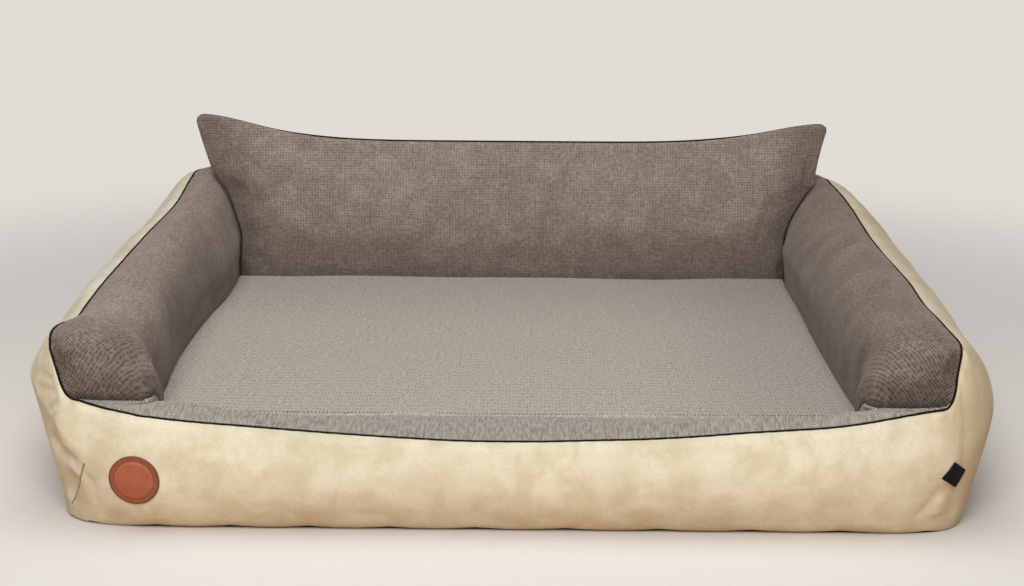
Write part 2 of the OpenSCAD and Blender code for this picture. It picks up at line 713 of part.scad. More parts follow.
// Steps across and up the cushion, closer together near the seams
function across_at(i) = sin(90 * (2 * i / cushion_cols - 1));
function up_at(j) = (1 + sin(90 * (2 * j / cushion_rows - 1))) / 2;
// How full the cushion is: a wedge up to its fullest part, and round above it
full_v = 0.42;
function swell(u, v) =
    cushion_half * pow(1 - pow(abs(u), end_power), edge_full)
    * (v < full_v ? sin(90 * v / full_v) : pow(cos(90 * (v - full_v) / (1 - full_v)), crown_full));
function upper_edge(u) = middle_top + ear_rise * pow(abs(u), ear_power) - ear_round * pow(abs(u), ear_tip_power);
function seam_point(u, v) =
    [u * cushion_edge(lerp(cushion_foot, ear_top, v)),
     cushion_y + cushion_lean * v,
     lerp(cushion_foot, upper_edge(u), v)];
// A point off the seam's plane, to the front (-1) or the rear (1)
function cushion_point(u, v, side, off) = seam_point(u, v) + [0, side * (max(0, swell(u, v)) + off), 0];
function cushion_face(side, off, margin) =
    [for (j = [margin:cushion_rows - margin]) [for (i = [margin:cushion_cols - margin])
        cushion_point(across_at(i), up_at(j), side, off)]];

module cushion_front_panel() {
    color(taupe) sheet_solid(cushion_face(-1, seam_gap / 2, 0), cushion_face(-1, seam_gap / 2 + cover_t, 0));
}
module cushion_back_panel() {
    color(taupe) sheet_solid(cushion_face(1, seam_gap / 2 + cover_t, 0), cushion_face(1, seam_gap / 2, 0));
}
module cushion_filling() {
    off = seam_gap / 2 - fill_gap;
    color(fibre_white) sheet_solid(cushion_face(1, off, 1), cushion_face(-1, off, 1));
}

// The cushion's edge, once round, and the way outward at each point
cushion_rim = concat(
    [for (i = [0:cushion_cols - 1]) seam_point(across_at(i), 0)],
    [for (j = [0:cushion_rows - 1]) seam_point(1, up_at(j))],
    [for (i = [cushion_cols:-1:1]) seam_point(across_at(i), 1)],
    [for (j = [cushion_rows:-1:1]) seam_point(-1, up_at(j))]);
function rim_outward(i) =
    let(count = len(cushion_rim),
        d = cushion_rim[(i + 1) % count] - cushion_rim[(i + count - 1) % count],
        n = [d[2], 0, -d[0]])
    n / norm(n);
module cushion_piping() {
    outward = [for (i = [0:len(cushion_rim) - 1]) rim_outward(i)];
    color(dark) cord_loop(
        [for (i = [0:len(cushion_rim) - 1]) cushion_rim[i] + outward[i] * (pipe_r + seat_gap)], outward, pipe_r, 6);
}

// The cushion's zip lies on its back, low down, where the back still leans out
cushion_zip_v = 0.11;
cushion_zip_step = 0.03;
function back_point(v) = cushion_point(0, v, 1, seam_gap / 2 + cover_t);
cushion_zip_at = back_point(cushion_zip_v);
cushion_zip_run = back_point(cushion_zip_v + cushion_zip_step) - back_point(cushion_zip_v - cushion_zip_step);
cushion_zip_lean = atan2(cushion_zip_run[1], cushion_zip_run[2]);
module cushion_zip_place() { translate(cushion_zip_at) rotate([-cushion_zip_lean, 0, 0]) children(); }

module cushion_zip_tape() { cushion_zip_place() zip_tapes(cushion_zip_l); }
module cushion_zip_teeth() { cushion_zip_place() zip_teeth(cushion_zip_l); }
module cushion_zip_slider() { cushion_zip_place() translate([slider_x(cushion_zip_l), 0, 0]) zip_slider(); }
module cushion_zip_pull() { cushion_zip_place() translate([slider_x(cushion_zip_l), 0, 0]) zip_pull(); }

base_panel();
front_outer_panel();
left_outer_panel();
right_outer_panel();
rear_outer_panel();
front_inner_panel();
left_inner_panel();
right_inner_panel();
rear_inner_panel();
front_wall_foam();
left_bolster_filling();
right_bolster_filling();
rear_wall_foam();
rim_piping();
leather_patch();
woven_tag();
frame_zip_tape();
frame_zip_teeth();
frame_zip_slider();
frame_zip_pull();
mattress_top_panel();
mattress_side_band();
mattress_bottom_panel();
memory_foam_layer();
support_foam_block();
mattress_zip_tape();
mattress_zip_teeth();
mattress_zip_slider();
mattress_zip_pull();
cushion_front_panel();
cushion_back_panel();
cushion_filling();
cushion_piping();
cushion_zip_tape();
cushion_zip_teeth();
cushion_zip_slider();
cushion_zip_pull();
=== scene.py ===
"""Orthopedic pet bed: stuffed walls with a piped rim, a ribbed mattress and a back cushion."""

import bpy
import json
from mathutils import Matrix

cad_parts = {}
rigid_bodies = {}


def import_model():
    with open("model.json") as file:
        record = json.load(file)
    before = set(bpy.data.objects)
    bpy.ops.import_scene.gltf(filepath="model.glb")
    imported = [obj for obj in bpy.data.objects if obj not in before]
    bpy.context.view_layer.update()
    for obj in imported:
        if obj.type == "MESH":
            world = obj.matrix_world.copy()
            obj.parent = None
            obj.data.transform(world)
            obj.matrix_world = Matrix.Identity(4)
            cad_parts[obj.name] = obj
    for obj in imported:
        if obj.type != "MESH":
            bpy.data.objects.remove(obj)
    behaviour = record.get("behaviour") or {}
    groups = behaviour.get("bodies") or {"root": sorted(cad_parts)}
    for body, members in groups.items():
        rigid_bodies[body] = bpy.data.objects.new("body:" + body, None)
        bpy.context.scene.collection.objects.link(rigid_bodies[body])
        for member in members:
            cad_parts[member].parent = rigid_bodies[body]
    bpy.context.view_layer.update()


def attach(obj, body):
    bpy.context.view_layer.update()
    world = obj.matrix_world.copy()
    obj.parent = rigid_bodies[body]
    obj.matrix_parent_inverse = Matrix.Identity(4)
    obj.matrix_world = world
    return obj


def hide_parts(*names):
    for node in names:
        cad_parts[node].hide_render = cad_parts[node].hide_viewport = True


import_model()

import json
import math
from functools import cache

import bpy
import numpy as np
from bpy.props import FloatProperty, FloatVectorProperty, IntProperty, PointerProperty
from bpy.types import Operator, Panel, PropertyGroup
from mathutils import Matrix, Vector
from mathutils.bvhtree import BVHTree

bl_info = {
    "name": "Orthopedic Pet Bed",
    "version": (1, 0, 0),
    "blender": (4, 5, 0),
    "location": "3D View > Sidebar > Pet Bed",
    "description": "Dresses a pet bed's frame in sewn covers, piping, fillings and trims",
    "category": "Object",
}

MM = 0.001


# Sizes and colours that a user would change

def length(name, description, default, low=0.0, high=2.0):
    """A length in metres."""
    return FloatProperty(
        name=name, description=description, default=default, min=low, max=high,
        unit="LENGTH", subtype="DISTANCE", precision=4)


def srgb(red, green, blue):
    """A colour from 0 to 255 as the shaders want it."""
    def linear(value):
        value /= 255.0
        return value / 12.92 if value <= 0.04045 else ((value + 0.055) / 1.055) ** 2.4
    return linear(red), linear(green), linear(blue)


def tint(name, description, *rgb):
    """A colour as it looks on the cloth."""
    return FloatVectorProperty(
        name=name, description=description, default=srgb(*rgb), size=3,
        min=0.0, max=1.0, subtype="COLOR")


class BedSizes(PropertyGroup):
    """Sizes of the walls, the piping, the mattress and the cushion."""

    bed_w: length("Width", "Width across the fullest part of the side bolsters", 1.140)
    bed_d: length("Depth", "Depth from the front wall to the rear wall", 0.920)
    nest_w: length("Nest width", "Clear width between the bolsters at the rear", 0.822)
    nest_splay: length("Nest splay", "How much wider the nest is on each side at the front", 0.012)
    nest_bow: length("Nest bow", "How far the nest's front edge bows outward", 0.020)
    nook_d: length("Nook depth", "Depth of the nook that the cushion stands in", 0.098)
    nest_r: length("Nest corner", "Radius of the nest's corners", 0.018)
    side_crest_front_h: length("Crest, front", "Height of a bolster's crest in front", 0.236)
    side_crest_rear_h: length("Crest, rear", "Height of a bolster's crest behind", 0.260)
    crest_sag: length("Crest sag", "How much lower the right bolster's crest has settled", 0.008)
    side_rim_front_h: length("Side piping, front", "Height of the side piping in front", 0.211)
    side_rim_rear_h: length("Side piping, rear", "Height of the side piping behind", 0.247)
    side_bulge_h: length("Side fullest height", "Height of the fullest part of a side", 0.135)
    side_crest_in: length("Crest inset", "How far a crest lies inside the fullest part", 0.108)
    side_rim_in: length("Side piping inset", "How far the piping lies inside the fullest part", 0.068)
    side_foot_in: length("Side foot inset", "How far the foot lies inside the fullest part", 0.055)
    side_taper: length("Side taper", "How much slimmer the ends of a side are", 0.015)
    dart_in: length("Dart", "How far the dart draws in the front left corner", 0.010)
    front_t: length("Front wall", "Thickness of the front wall at the middle", 0.094)
    front_rim_h: length("Front piping height", "Height of the piping at the middle", 0.110)
    front_rise: length("Front rise", "How much the front piping climbs to the corner", 0.029)
    front_crown: length("Front crown", "Height of the front crest over the piping", 0.005)
    front_bulge_h: length("Front fullest height", "Height of the front's fullest part", 0.058)
    front_rim_in: length("Front piping inset", "How far the piping lies inside the fullest part", 0.015)
    front_foot_in: length("Front foot inset", "How far the foot lies inside the fullest part", 0.028)
    rear_t: length("Rear wall", "Thickness of the rear wall", 0.054)
    rear_rim_h: length("Rear piping height", "Height of the piping on the rear wall", 0.256)
    rear_crown: length("Rear crown", "Height of the rear crest over the piping", 0.009)
    rear_bulge_h: length("Rear fullest height", "Height of the rear's fullest part", 0.130)
    rear_rim_in: length("Rear piping inset", "How far the piping lies inside the fullest part", 0.020)
    rear_foot_in: length("Rear foot inset", "How far the foot lies inside the fullest part", 0.015)
    cover_t: length("Cloth", "Thickness of the upholstery cloth", 0.002)
    base_t: length("Base cloth", "Thickness of the non-slip base cloth", 0.002)
    piping_d: length("Piping", "Diameter of the rim's piping", 0.0042)
    edge_piping_d: length("Cushion piping", "Diameter of the cushion's piping", 0.0030)
    mattress_h: length("Mattress height", "Height of the mattress over the base cloth", 0.110)
    memory_foam_h: length("Memory foam", "Height of the memory foam layer", 0.030)
    mattress_roll: length("Mattress roll", "Radius of the mattress's rolled edges", 0.005)
    mattress_crown: length("Mattress crown", "Crown of the mattress's upper face", 0.003)
    cushion_h: length("Cushion height", "Height at the middle of the cushion's upper edge", 0.309)
    ear_rise: length("Ear rise", "How much higher the cushion's ears are", 0.036)
    ear_w: length("Ear width", "Width across the cushion's ears", 0.952)
    ear_shift: length("Ear shift", "How far the ears sit to the left of the middle", 0.004)
    cushion_t: length("Cushion thickness", "Thickness of the cushion at its fullest", 0.080)
    cushion_lean: length("Cushion lean", "How far the cushion's upper edge leans back", 0.006)
    patch_d: length("Patch", "Diameter of the leather patch", 0.057)
    patch_t: length("Patch thickness", "Thickness of the leather patch", 0.002)
    patch_x: length("Patch place", "Distance of the patch from the middle", 0.411)
    patch_h: length("Patch height", "Height of the patch's middle", 0.065)
    tag_w: length("Tag width", "Width of the woven tag", 0.022)
    tag_l: length("Tag length", "Length of the folded tag", 0.024)
    tag_h: length("Tag height", "Height of the tag's middle", 0.075)
    ring_step: length("Cloth step", "Size of a square of cloth in the meshes", 0.0085, 0.004, 0.03)
    fullness: FloatProperty(
        name="Fullness", description="How hard the stuffing presses on the covers",
        default=4.0, min=0.0, max=12.0)
    cloth_frames: IntProperty(
        name="Cloth frames", description="How long the covers settle", default=20, min=2, max=60)


class BedColours(PropertyGroup):
    """Colours of the cloths and trims."""

    nubuck: tint("Nubuck", "Outer walls, where the nap lies light", 235, 232, 209)
    nubuck_deep: tint("Nubuck, deep", "Outer walls, where the nap lies dark", 196, 178, 138)
    velour: tint("Velour", "Inner walls and cushion", 146, 132, 122)
    velour_deep: tint("Velour, deep", "Inner walls and cushion, in the knit's dots", 62, 50, 43)
    ribbed: tint("Ribbed cloth", "Mattress cover", 186, 177, 166)
    ribbed_deep: tint("Ribbed cloth, deep", "Mattress cover, between the ribs", 132, 122, 112)
    piping: tint("Piping", "Cord in the rim's seam", 25, 17, 13)
    leather: tint("Leather", "Round patch", 176, 98, 68)
    leather_edge: tint("Leather edge", "Burnished edge of the patch", 104, 52, 36)
    tag: tint("Tag", "Woven tag", 17, 16, 16)
    base: tint("Base cloth", "Non-slip cloth underneath", 26, 25, 25)
    memory_foam: tint("Memory foam", "Upper layer of the mattress", 150, 184, 206)
    foam: tint("Foam", "Bars and blocks of plain foam", 206, 205, 196)
    fibre: tint("Fibre", "Loose filling", 238, 237, 232)
    zip_cloth: tint("Zip tape", "Woven tapes of the zips", 34, 32, 32)
    zip_plastic: tint("Zip teeth", "Moulded teeth", 40, 38, 38)
    zip_metal: tint("Zip slider", "Lacquered sliders and tabs", 58, 56, 56)
    floor: tint("Floor", "Floor of the studio", 216, 212, 207)
    floor_bounce: tint("Floor's light", "Colour that the floor throws back on the bed", 186, 150, 116)
    backdrop: tint("Backdrop", "Floor far away", 224, 220, 214)


class StageSettings(PropertyGroup):
    """Camera and lamps."""

    camera_at: FloatVectorProperty(
        name="Camera", description="Where the camera stands", default=(0.02, -2.32, 0.76),
        size=3, subtype="TRANSLATION", unit="LENGTH")
    pitch: FloatProperty(
        name="Pitch", description="How far the camera looks down",
        default=math.radians(14.42), subtype="ANGLE")
    yaw: FloatProperty(
        name="Yaw", description="How far the camera looks to the left",
        default=math.radians(0.5), subtype="ANGLE")
    roll: FloatProperty(
        name="Roll", description="How far the camera is turned on its axis",
        default=math.radians(0.35), subtype="ANGLE")
    lens: FloatProperty(
        name="Lens", description="Focal length on a 36 mm frame", default=63.28, min=10, max=200)
    key_power: FloatProperty(
        name="Key", description="Power of the large lamp in front", default=98.0, min=0, max=500)
    fill_power: FloatProperty(
        name="Fill", description="Power of the lamp at the right", default=1.0, min=0, max=500)
    top_power: FloatProperty(
        name="Top", description="Power of the lamp overhead", default=42.0, min=0, max=500)
    sky: FloatProperty(
        name="Surroundings", description="Strength of the light from all round",
        default=0.10, min=0, max=2)


# Small helpers for numbers

def lerp(a, b, k):
    """The way from a to b."""
    return a + (b - a) * k


def clamp01(k):
    """k held between 0 and 1."""
    return np.clip(k, 0.0, 1.0)


def smooth(k):
    """An eased step from 0 to 1."""
    k = clamp01(k)
    return k * k * (3 - 2 * k)


def hump(distance, width):
    """1 at no distance, falling softly to 0."""
    return np.exp(-(distance / width) ** 2)


def through(at, knots):
    """A smooth curve through knots (place, values)."""
    knots = np.array(sorted(knots))
    place, values = knots[:, 0], knots[:, 1:]
    slope = np.gradient(values, place, axis=0)
    i = np.clip(np.searchsorted(place, at) - 1, 0, len(place) - 2)
    step = (place[i + 1] - place[i])[:, None]
    k = clamp01((at - place[i])[:, None] / step)
    return ((1 + 2 * k) * (1 - k) ** 2 * values[i] + k * (1 - k) ** 2 * step * slope[i]
            + k ** 2 * (3 - 2 * k) * values[i + 1] + k ** 2 * (k - 1) * step * slope[i + 1])


def corner_r(side, end, angle, power):
    """Distance of a rounded corner from its spine point, at an angle from the side."""
    return ((np.cos(angle) / side) ** power + (np.sin(angle) / end) ** power) ** (-1 / power)


def run_along(line):
    """How far along a line each of its points is."""
    return np.concatenate([[0], np.cumsum(np.linalg.norm(np.diff(line, axis=0), axis=1))])


def run_round(line):
    """How far round a closed line the point after each is."""
    return np.cumsum(np.linalg.norm(np.diff(line, axis=0, append=line[:1]), axis=1))


def run_down(grid):
    """How far down its column each point of a grid is."""
    steps = np.linalg.norm(np.diff(grid, axis=1), axis=2)
    return np.concatenate([np.zeros((len(grid), 1)), np.cumsum(steps, axis=1)], axis=1)


def even_rows(points, rows):
    """Lines of points (line, point, xyz) with their points spread evenly."""
    out = np.empty((len(points), rows, points.shape[2]))
    for line, target in zip(points, out):
        run = run_along(line[:, :3])
        at = np.linspace(0, run[-1], rows)
        for axis in range(points.shape[2]):
            target[:, axis] = np.interp(at, run, line[:, axis])
    return out


def finer(grid, ring=False):
    """A grid with a point between each two, on a smooth curve, along both ways."""
    def along(g, closed):
        past = 2 * g[-1:] - g[-2:-1]
        before = np.concatenate([g[-1:] if closed else 2 * g[:1] - g[1:2], g[:-1]])
        after = np.concatenate([g[1:], g[:1] if closed else past])
        beyond = np.roll(g, -2, axis=0) if closed else np.concatenate([g[2:], past, past])
        between = (9 * (g + after) - before - beyond) / 16
        out = np.empty((2 * len(g), *g.shape[1:]))
        out[0::2] = g
        out[1::2] = between
        return out if closed else out[:-1]
    grid = along(grid, ring)
    return along(grid.swapaxes(0, 1), False).swapaxes(0, 1)


def grid_normals(grid, ring=False):
    """Unit normals of a grid, rows crossed with columns."""
    if ring:
        across = np.roll(grid, -1, axis=0) - np.roll(grid, 1, axis=0)
    else:
        across = np.gradient(grid, axis=0)
    down = np.gradient(grid, axis=1)
    normal = np.cross(across, down)
    size = np.linalg.norm(normal, axis=-1, keepdims=True)
    return normal / np.maximum(size, 1e-12)


def wander(seed, places, size, octaves=3):
    """Soft seeded unevenness from about -1 to 1 at places (..., 3), as wide as size."""
    draw = np.random.default_rng(seed)
    total = np.zeros(places.shape[:-1])
    weight = 1.0
    for _ in range(octaves):
        for _ in range(5):
            way = draw.normal(size=3)
            way /= np.linalg.norm(way)
            total += weight * np.sin(
                places @ way * (2 * math.pi / size) * draw.uniform(0.7, 1.4) + draw.uniform(0, 6.3))
        weight *= 0.5
        size *= 0.5
    return total / 4.5


def line_distance(places, path):
    """Distance of places (..., 3) from a line of points, and where along it they are, from 0 to 1."""
    flat = places.reshape(-1, 3)
    best = np.full(len(flat), 1e9)
    run = np.zeros(len(flat))
    start = 0.0
    for a, b in zip(path[:-1], path[1:]):
        d = b - a
        size = np.linalg.norm(d)
        k = clamp01((flat - a) @ d / size ** 2)
        gap = np.linalg.norm(flat - (a + k[:, None] * d), axis=1)
        near = gap < best
        best[near], run[near] = gap[near], start + k[near] * size
        start += size
    return best.reshape(places.shape[:-1]), (run / start).reshape(places.shape[:-1])


# The frame's sections, which follow the same curves as the solids

OUTER_FULL = 1.8
FOOT_FULL = 1.55
CREST_FULL = 1.12
INNER_FULL = 1.25
DOME_TURN = 2.7
NEST_BOW_LEFT = 0.3
RIGHT_FOOT_OUT = 0.006
RIGHT_BULGE_IN = 0.002
LEFT_BULGE_IN = 0.003
BULGE_OVER_RIM = 0.007
FRONT_SEAM = 50.0
REAR_SEAM = 45.0
SEAT_GAP = 0.0003
PIPING_SHOWN = 0.66
FOOT_TUCK = 0.0027
EDGE_GAP = 0.0030
EAR_TURN = 0.015
EAR_RISES = (0.0395, 0.0310)
MATTRESS_GAP = 0.001
FILL_GAP = 0.0005

# How the sewn rim has settled: a place, then millimetres outward and up. A place runs from 1 at
# the rear of a side to 0 at its front, to -1 round the corner, and to -2 at the front's middle.
LEFT_RIM = [
    (1.0, 3.5, 3.0), (0.92, 1.0, 0.8), (0.8, -2.6, -2.2), (0.7, -1.4, -1.2), (0.62, 0.4, 0.3),
    (0.5, 1.6, 1.4), (0.35, 2.4, 2.3), (0.2, 1.9, 2.0), (0.1, 0.8, 0.8), (0.03, -0.8, -0.8),
    (-0.04, 1.2, 1.4), (-0.12, 3.6, 3.4), (-0.21, 6.4, 5.3), (-0.29, 8.0, 5.9), (-0.37, 7.4, 4.4),
    (-0.43, 6.0, 0.6), (-0.49, -0.8, 0.1), (-0.55, -1.8, 0.6), (-0.60, -1.5, 2.6), (-0.67, -0.3, 0.9),
    (-0.74, 0.3, -0.7), (-0.86, 0.7, -1.8), (-1.0, 1.4, -4.0), (-1.1, 1.2, -3.2), (-1.25, 0.3, -1.0),
    (-1.4, -0.2, 0.4), (-1.55, -0.2, 0.7), (-1.8, 0.0, 0.0), (-2.0, 0.0, 0.0),
]
RIGHT_RIM = [
    (1.0, -7.0, -5.5), (0.9, -4.0, -3.0), (0.8, -4.0, -3.1), (0.6, -5.7, -4.9), (0.5, -5.2, -4.2),
    (0.35, -2.7, -2.0), (0.27, -1.8, -1.4), (0.15, -3.1, -2.6), (0.05, -1.7, -1.6), (-0.05, -1.2, -1.1),
    (-0.2, -0.8, -0.8), (-0.3, -0.5, -0.5), (-0.38, -1.4, -0.8), (-0.43, -3.0, -0.1), (-0.49, -6.3, 0.7),
    (-0.53, -3.6, 0.5), (-0.58, -0.3, 0.1), (-0.65, 0.0, 0.1), (-0.8, 0.3, -0.8), (-0.93, 0.8, -2.1),
    (-1.0, 1.3, -3.7), (-1.1, 1.3, -3.8), (-1.2, 0.8, -2.3), (-1.33, 0.2, -0.6), (-1.5, 0.1, -0.4),
    (-1.7, 0.0, 0.0), (-2.0, 0.0, 0.0),
]

# Where the bolsters' inner sides have settled along the nest: a place from 0 in front to 1 at the
# rear, then millimetres outward.
LEFT_NEST = [(0.0, -8.0), (0.09, -7.0), (0.18, -0.6), (0.30, 5.0), (0.42, 6.5), (0.56, 4.6), (0.68, -0.5),
             (0.80, 0.0), (0.89, 4.0), (0.957, 10.5), (1.0, 12.0)]
RIGHT_NEST = [(0.0, -16.5), (0.22, -16.5), (0.36, -15.0), (0.5, -13.0), (0.65, -10.5), (0.8, -10.0),
              (0.89, -6.0), (0.957, 3.5), (1.0, 5.5)]

# The dart's seam in the front left corner, and the way along the wall there
DART = [(-0.469, -0.448, 0.079), (-0.475, -0.444, 0.065), (-0.481, -0.437, 0.050), (-0.494, -0.415, 0.020)]
DART_WAY = (0.87, -0.49)


def spine(z):
    """The rectangle in plan that the sections stand on: half width, front, rear."""
    return (z.nest_w / 2 - z.nest_r,
            z.bed_d / 2 - z.front_t - z.nest_r - z.nest_bow,
            z.bed_d / 2 - z.rear_t - z.nest_r)


def nook_front(z):
    """Where the mattress ends and the cushion's nook begins."""
    return z.bed_d / 2 - z.rear_t - z.nook_d


def runs_of_stations(z, step):
    """Stations (x, y, side, end, degrees) of the front, right, rear and left panels."""
    sx, front, rear = spine(z)
    corner_steps = max(8, round(0.27 / step))
    seam = {-1: FRONT_SEAM, 1: REAR_SEAM}

    def fan(side, end, first, last):
        count = max(3, round(corner_steps * abs(last - first) / 90))
        y = -front if end < 0 else rear
        return [(side * sx, y, side, end, lerp(first, last, i / count)) for i in range(count + 1)]

    def straight(a, b, side, end, degrees):
        count = max(4, round(math.dist(a, b) / step))
        spots = [(lerp(a[0], b[0], i / count), lerp(a[1], b[1], i / count)) for i in range(1, count)]
        return [(x, y, side, end or (-1 if y < 0 else 1), degrees) for x, y in spots]

    return {
        "front": (fan(-1, -1, seam[-1], 90) + straight((-sx, -front), (sx, -front), 1, -1, 90.0)
                  + fan(1, -1, 90, seam[-1])),
        "right": (fan(1, -1, seam[-1], 0) + straight((sx, -front), (sx, rear), 1, 0, 0.0)
                  + fan(1, 1, 0, seam[1])),
        "rear": (fan(1, 1, seam[1], 90) + straight((sx, rear), (-sx, rear), 1, 1, 90.0)
                 + fan(-1, 1, 90, seam[1])),
        "left": (fan(-1, 1, seam[1], 0) + straight((-sx, rear), (-sx, -front), -1, 0, 0.0)
                 + fan(-1, -1, 0, seam[-1])),
    }


def column(values):
    """One value for each station, to go with rows of points."""
    return values[:, None]


class Walls:
    """The lines of the walls at a list of stations: nest, crest, piping, fullest part and foot."""

    def __init__(self, z, stations, settled=True):
        self.z = z
        s = np.asarray(stations, float)
        self.spot, self.side, self.end, self.degrees = s[:, :2], s[:, 2], s[:, 3], s[:, 4]
        self.angle = np.radians(self.degrees)
        sx, front, rear = spine(z)
        self.front = self.end < 0
        self.along = clamp01((s[:, 1] + front) / (front + rear))
        self.across = clamp01(np.abs(s[:, 0]) / sx)
        self.side_out = z.bed_w / 2 - sx
        self.front_out = z.bed_d / 2 - front
        self.rear_out = z.bed_d / 2 - rear
        self.floor = z.base_t + SEAT_GAP
        self.drawn = MM * np.where(self.side > 0, through(self.along, RIGHT_NEST)[:, 0],
                                   through(self.along, LEFT_NEST)[:, 0])
        self.rightward = smooth(s[:, 0] / sx)
        turned = smooth((self.degrees - self.pick(34, 15)) / self.pick(20, 60))
        off_front = smooth((90 - self.degrees) / 60)
        near_dart = np.where(
            self.front & (self.side < 0), off_front * smooth(1 - (s[:, 1] + front) / 0.220), 0.0)
        near_right = np.where(
            self.front & (self.side > 0), off_front * smooth(1 - (s[:, 1] + front) / 0.260), 0.0)

        self.nest = self.nest_at(self.angle)
        self.rim = self.rim_at(self.angle)
        self.crest = corner_r(
            self.side_out - z.side_crest_in,
            self.pick(lerp(self.nest_end(), self.front_out - z.front_rim_in,
                           0.62 + 0.20 * self.across ** 2 * self.rightward),
                      self.rear_out - z.rear_rim_in - 0.012),
            self.angle, 2.6)
        self.foot = corner_r(
            self.side_out - z.side_foot_in,
            self.pick(self.front_out - z.front_foot_in, self.rear_out - z.rear_foot_in),
            self.angle, 3.6) - z.dart_in * near_dart / 2 + RIGHT_FOOT_OUT * near_right
        bulge = corner_r(
            self.side_out - z.side_taper * (2 * self.along - 1) ** 2,
            self.pick(self.front_out, self.rear_out), self.angle, 2.5)
        bulge = bulge - (z.dart_in / 2 + LEFT_BULGE_IN) * near_dart - RIGHT_BULGE_IN * near_right
        self.bulge = np.maximum(self.rim + BULGE_OVER_RIM, bulge)

        end_rim = np.where(self.front, z.front_rim_h + z.front_rise * self.across ** 2, z.rear_rim_h)
        lip = np.where(self.front, 0.014 * smooth((90 - self.degrees) / 50), 0.0)
        side_rim = lerp(z.side_rim_front_h, z.side_rim_rear_h, self.along ** 2.2)
        side_crest = lerp(z.side_crest_front_h, z.side_crest_rear_h, self.along ** 1.5)
        side_crest = side_crest - np.where(self.side > 0, z.crest_sag * smooth(self.along * 1.6 - 0.3), 0.0)
        self.rim_h = lerp(side_rim, end_rim + lip, turned)
        dome = clamp01((self.degrees - 6) / (FRONT_SEAM - 6))
        drop = self.pick(1 - (1 - dome ** 2.4) ** 0.5, smooth((self.degrees - 15) / 60))
        self.crest_h = lerp(side_crest, end_rim + self.pick(z.front_crown, z.rear_crown), drop)
        self.outer_full = OUTER_FULL - 0.35 * near_dart + np.where(
            self.front, 1.2 * smooth((self.degrees - 45) / 40), 0.0)
        self.foot_full = FOOT_FULL - 0.62 * near_dart - 0.30 * near_right
        near_notch = smooth((self.degrees - 44) / 6) * smooth((92 - self.degrees) / 30)
        self.crest_full = CREST_FULL + np.where(self.front, 1.2 * near_notch, 0.0)
        self.bulge_h = lerp(
            z.side_bulge_h, self.pick(z.front_bulge_h, z.rear_bulge_h), smooth(self.degrees / 90)
        ) + 3 * z.dart_in * near_dart
        self.inner_h = lerp(
            z.mattress_h + 0.042,
            self.pick(z.front_rim_h - 0.004 - 0.016 * self.across ** 2, z.rear_rim_h - 0.056),
            self.pick(dome ** 3, smooth((self.degrees - 15) / 60)))
        stuffed = smooth((0.86 - self.along) / 0.35) * (self.degrees < 89.9)
        self.inner_full = INNER_FULL + 0.65 * stuffed * (1 - self.pick(drop ** 2, 1.0) * 0.9)
        self.inner_full = np.where(self.front | (self.degrees < 0.1), self.inner_full, INNER_FULL)
        strip_full = lerp(1.9, 1.0, smooth(self.across / 0.8))
        self.inner_full = lerp(self.inner_full, strip_full, smooth((self.degrees - 40) / 12) * self.front)
        if settled:
            self.settle()

    def pick(self, front, rear):
        """One value in front and another behind."""
        return np.where(self.front, front, rear)

    def nest_end(self):
        """The nest's distance straight to the front."""
        return self.z.nest_r + NEST_BOW_LEFT * self.z.nest_bow * (1 - self.across ** 2)

    def nest_at(self, angle):
        """The nest's wall at an angle of each station's fan."""
        z = self.z
        return corner_r(z.nest_r + z.nest_splay * (1 - self.along) + self.drawn,
                        np.where(self.front, self.nest_end(), z.nest_r), angle, self.pick(12.0, 2.4))

    def rim_at(self, angle):
        """The piping at an angle of each station's fan."""
        z = self.z
        return corner_r(self.side_out - z.side_rim_in - 0.015 * self.along ** 3,
                        self.pick(self.front_out - z.front_rim_in, self.rear_out - z.rear_rim_in),
                        angle, self.pick(8.0, 3.2))

    def dome_at(self, angle):
        """The rounder outline of a bolster's end above its base, at an angle of each fan."""
        return corner_r(self.side_out - self.z.side_rim_in, self.front_out - self.z.front_rim_in,
                        angle, DOME_TURN)

    def settle(self):
        """The piping wanders a little, and follows the shape that the sewn rim has taken."""
        place = np.stack([*(self.spot + self.ways(self.angle) * self.rim[:, None]).T,
                          np.zeros(len(self.rim))], axis=1)
        turned = np.where(self.degrees < 89.99, -self.degrees / 90, self.across - 2)
        where = np.where(self.front & (self.degrees > 0.01), turned, self.along)
        left, right = through(where, LEFT_RIM), through(where, RIGHT_RIM)
        halfway = smooth(0.5 + self.spot[:, 0] / 0.2)[:, None]
        moved = lerp(left, right, halfway) * MM
        moved = moved * np.where(self.front, 1.0, 1 - smooth(self.degrees / 60))[:, None]
        self.rim = self.rim + moved[:, 0] + 0.0006 * wander(5, place, 0.20, 2)
        self.rim_h = self.rim_h + moved[:, 1] + 0.0005 * wander(8, place, 0.16, 2)
        self.bulge = np.maximum(self.bulge, self.rim + BULGE_OVER_RIM)
        self.crest_h = self.crest_h + 0.0016 * wander(9, place, 0.30, 2) * (1 - smooth(self.degrees / 40))

    def ways(self, angle):
        """Unit steps outward in plan."""
        return np.stack([self.side * np.cos(angle), self.end * np.sin(angle)], axis=-1)

    def place(self, out, height, angle=None):
        """Points (station, row, xyz) at distances outward and heights."""
        angle = self.angle if angle is None else angle
        angle = np.broadcast_to(angle.reshape(len(self.rim), -1), out.shape)
        x = self.spot[:, :1] + self.side[:, None] * np.cos(angle) * out
        y = self.spot[:, 1:] + self.end[:, None] * np.sin(angle) * out
        return np.stack([x, y, height], axis=-1)

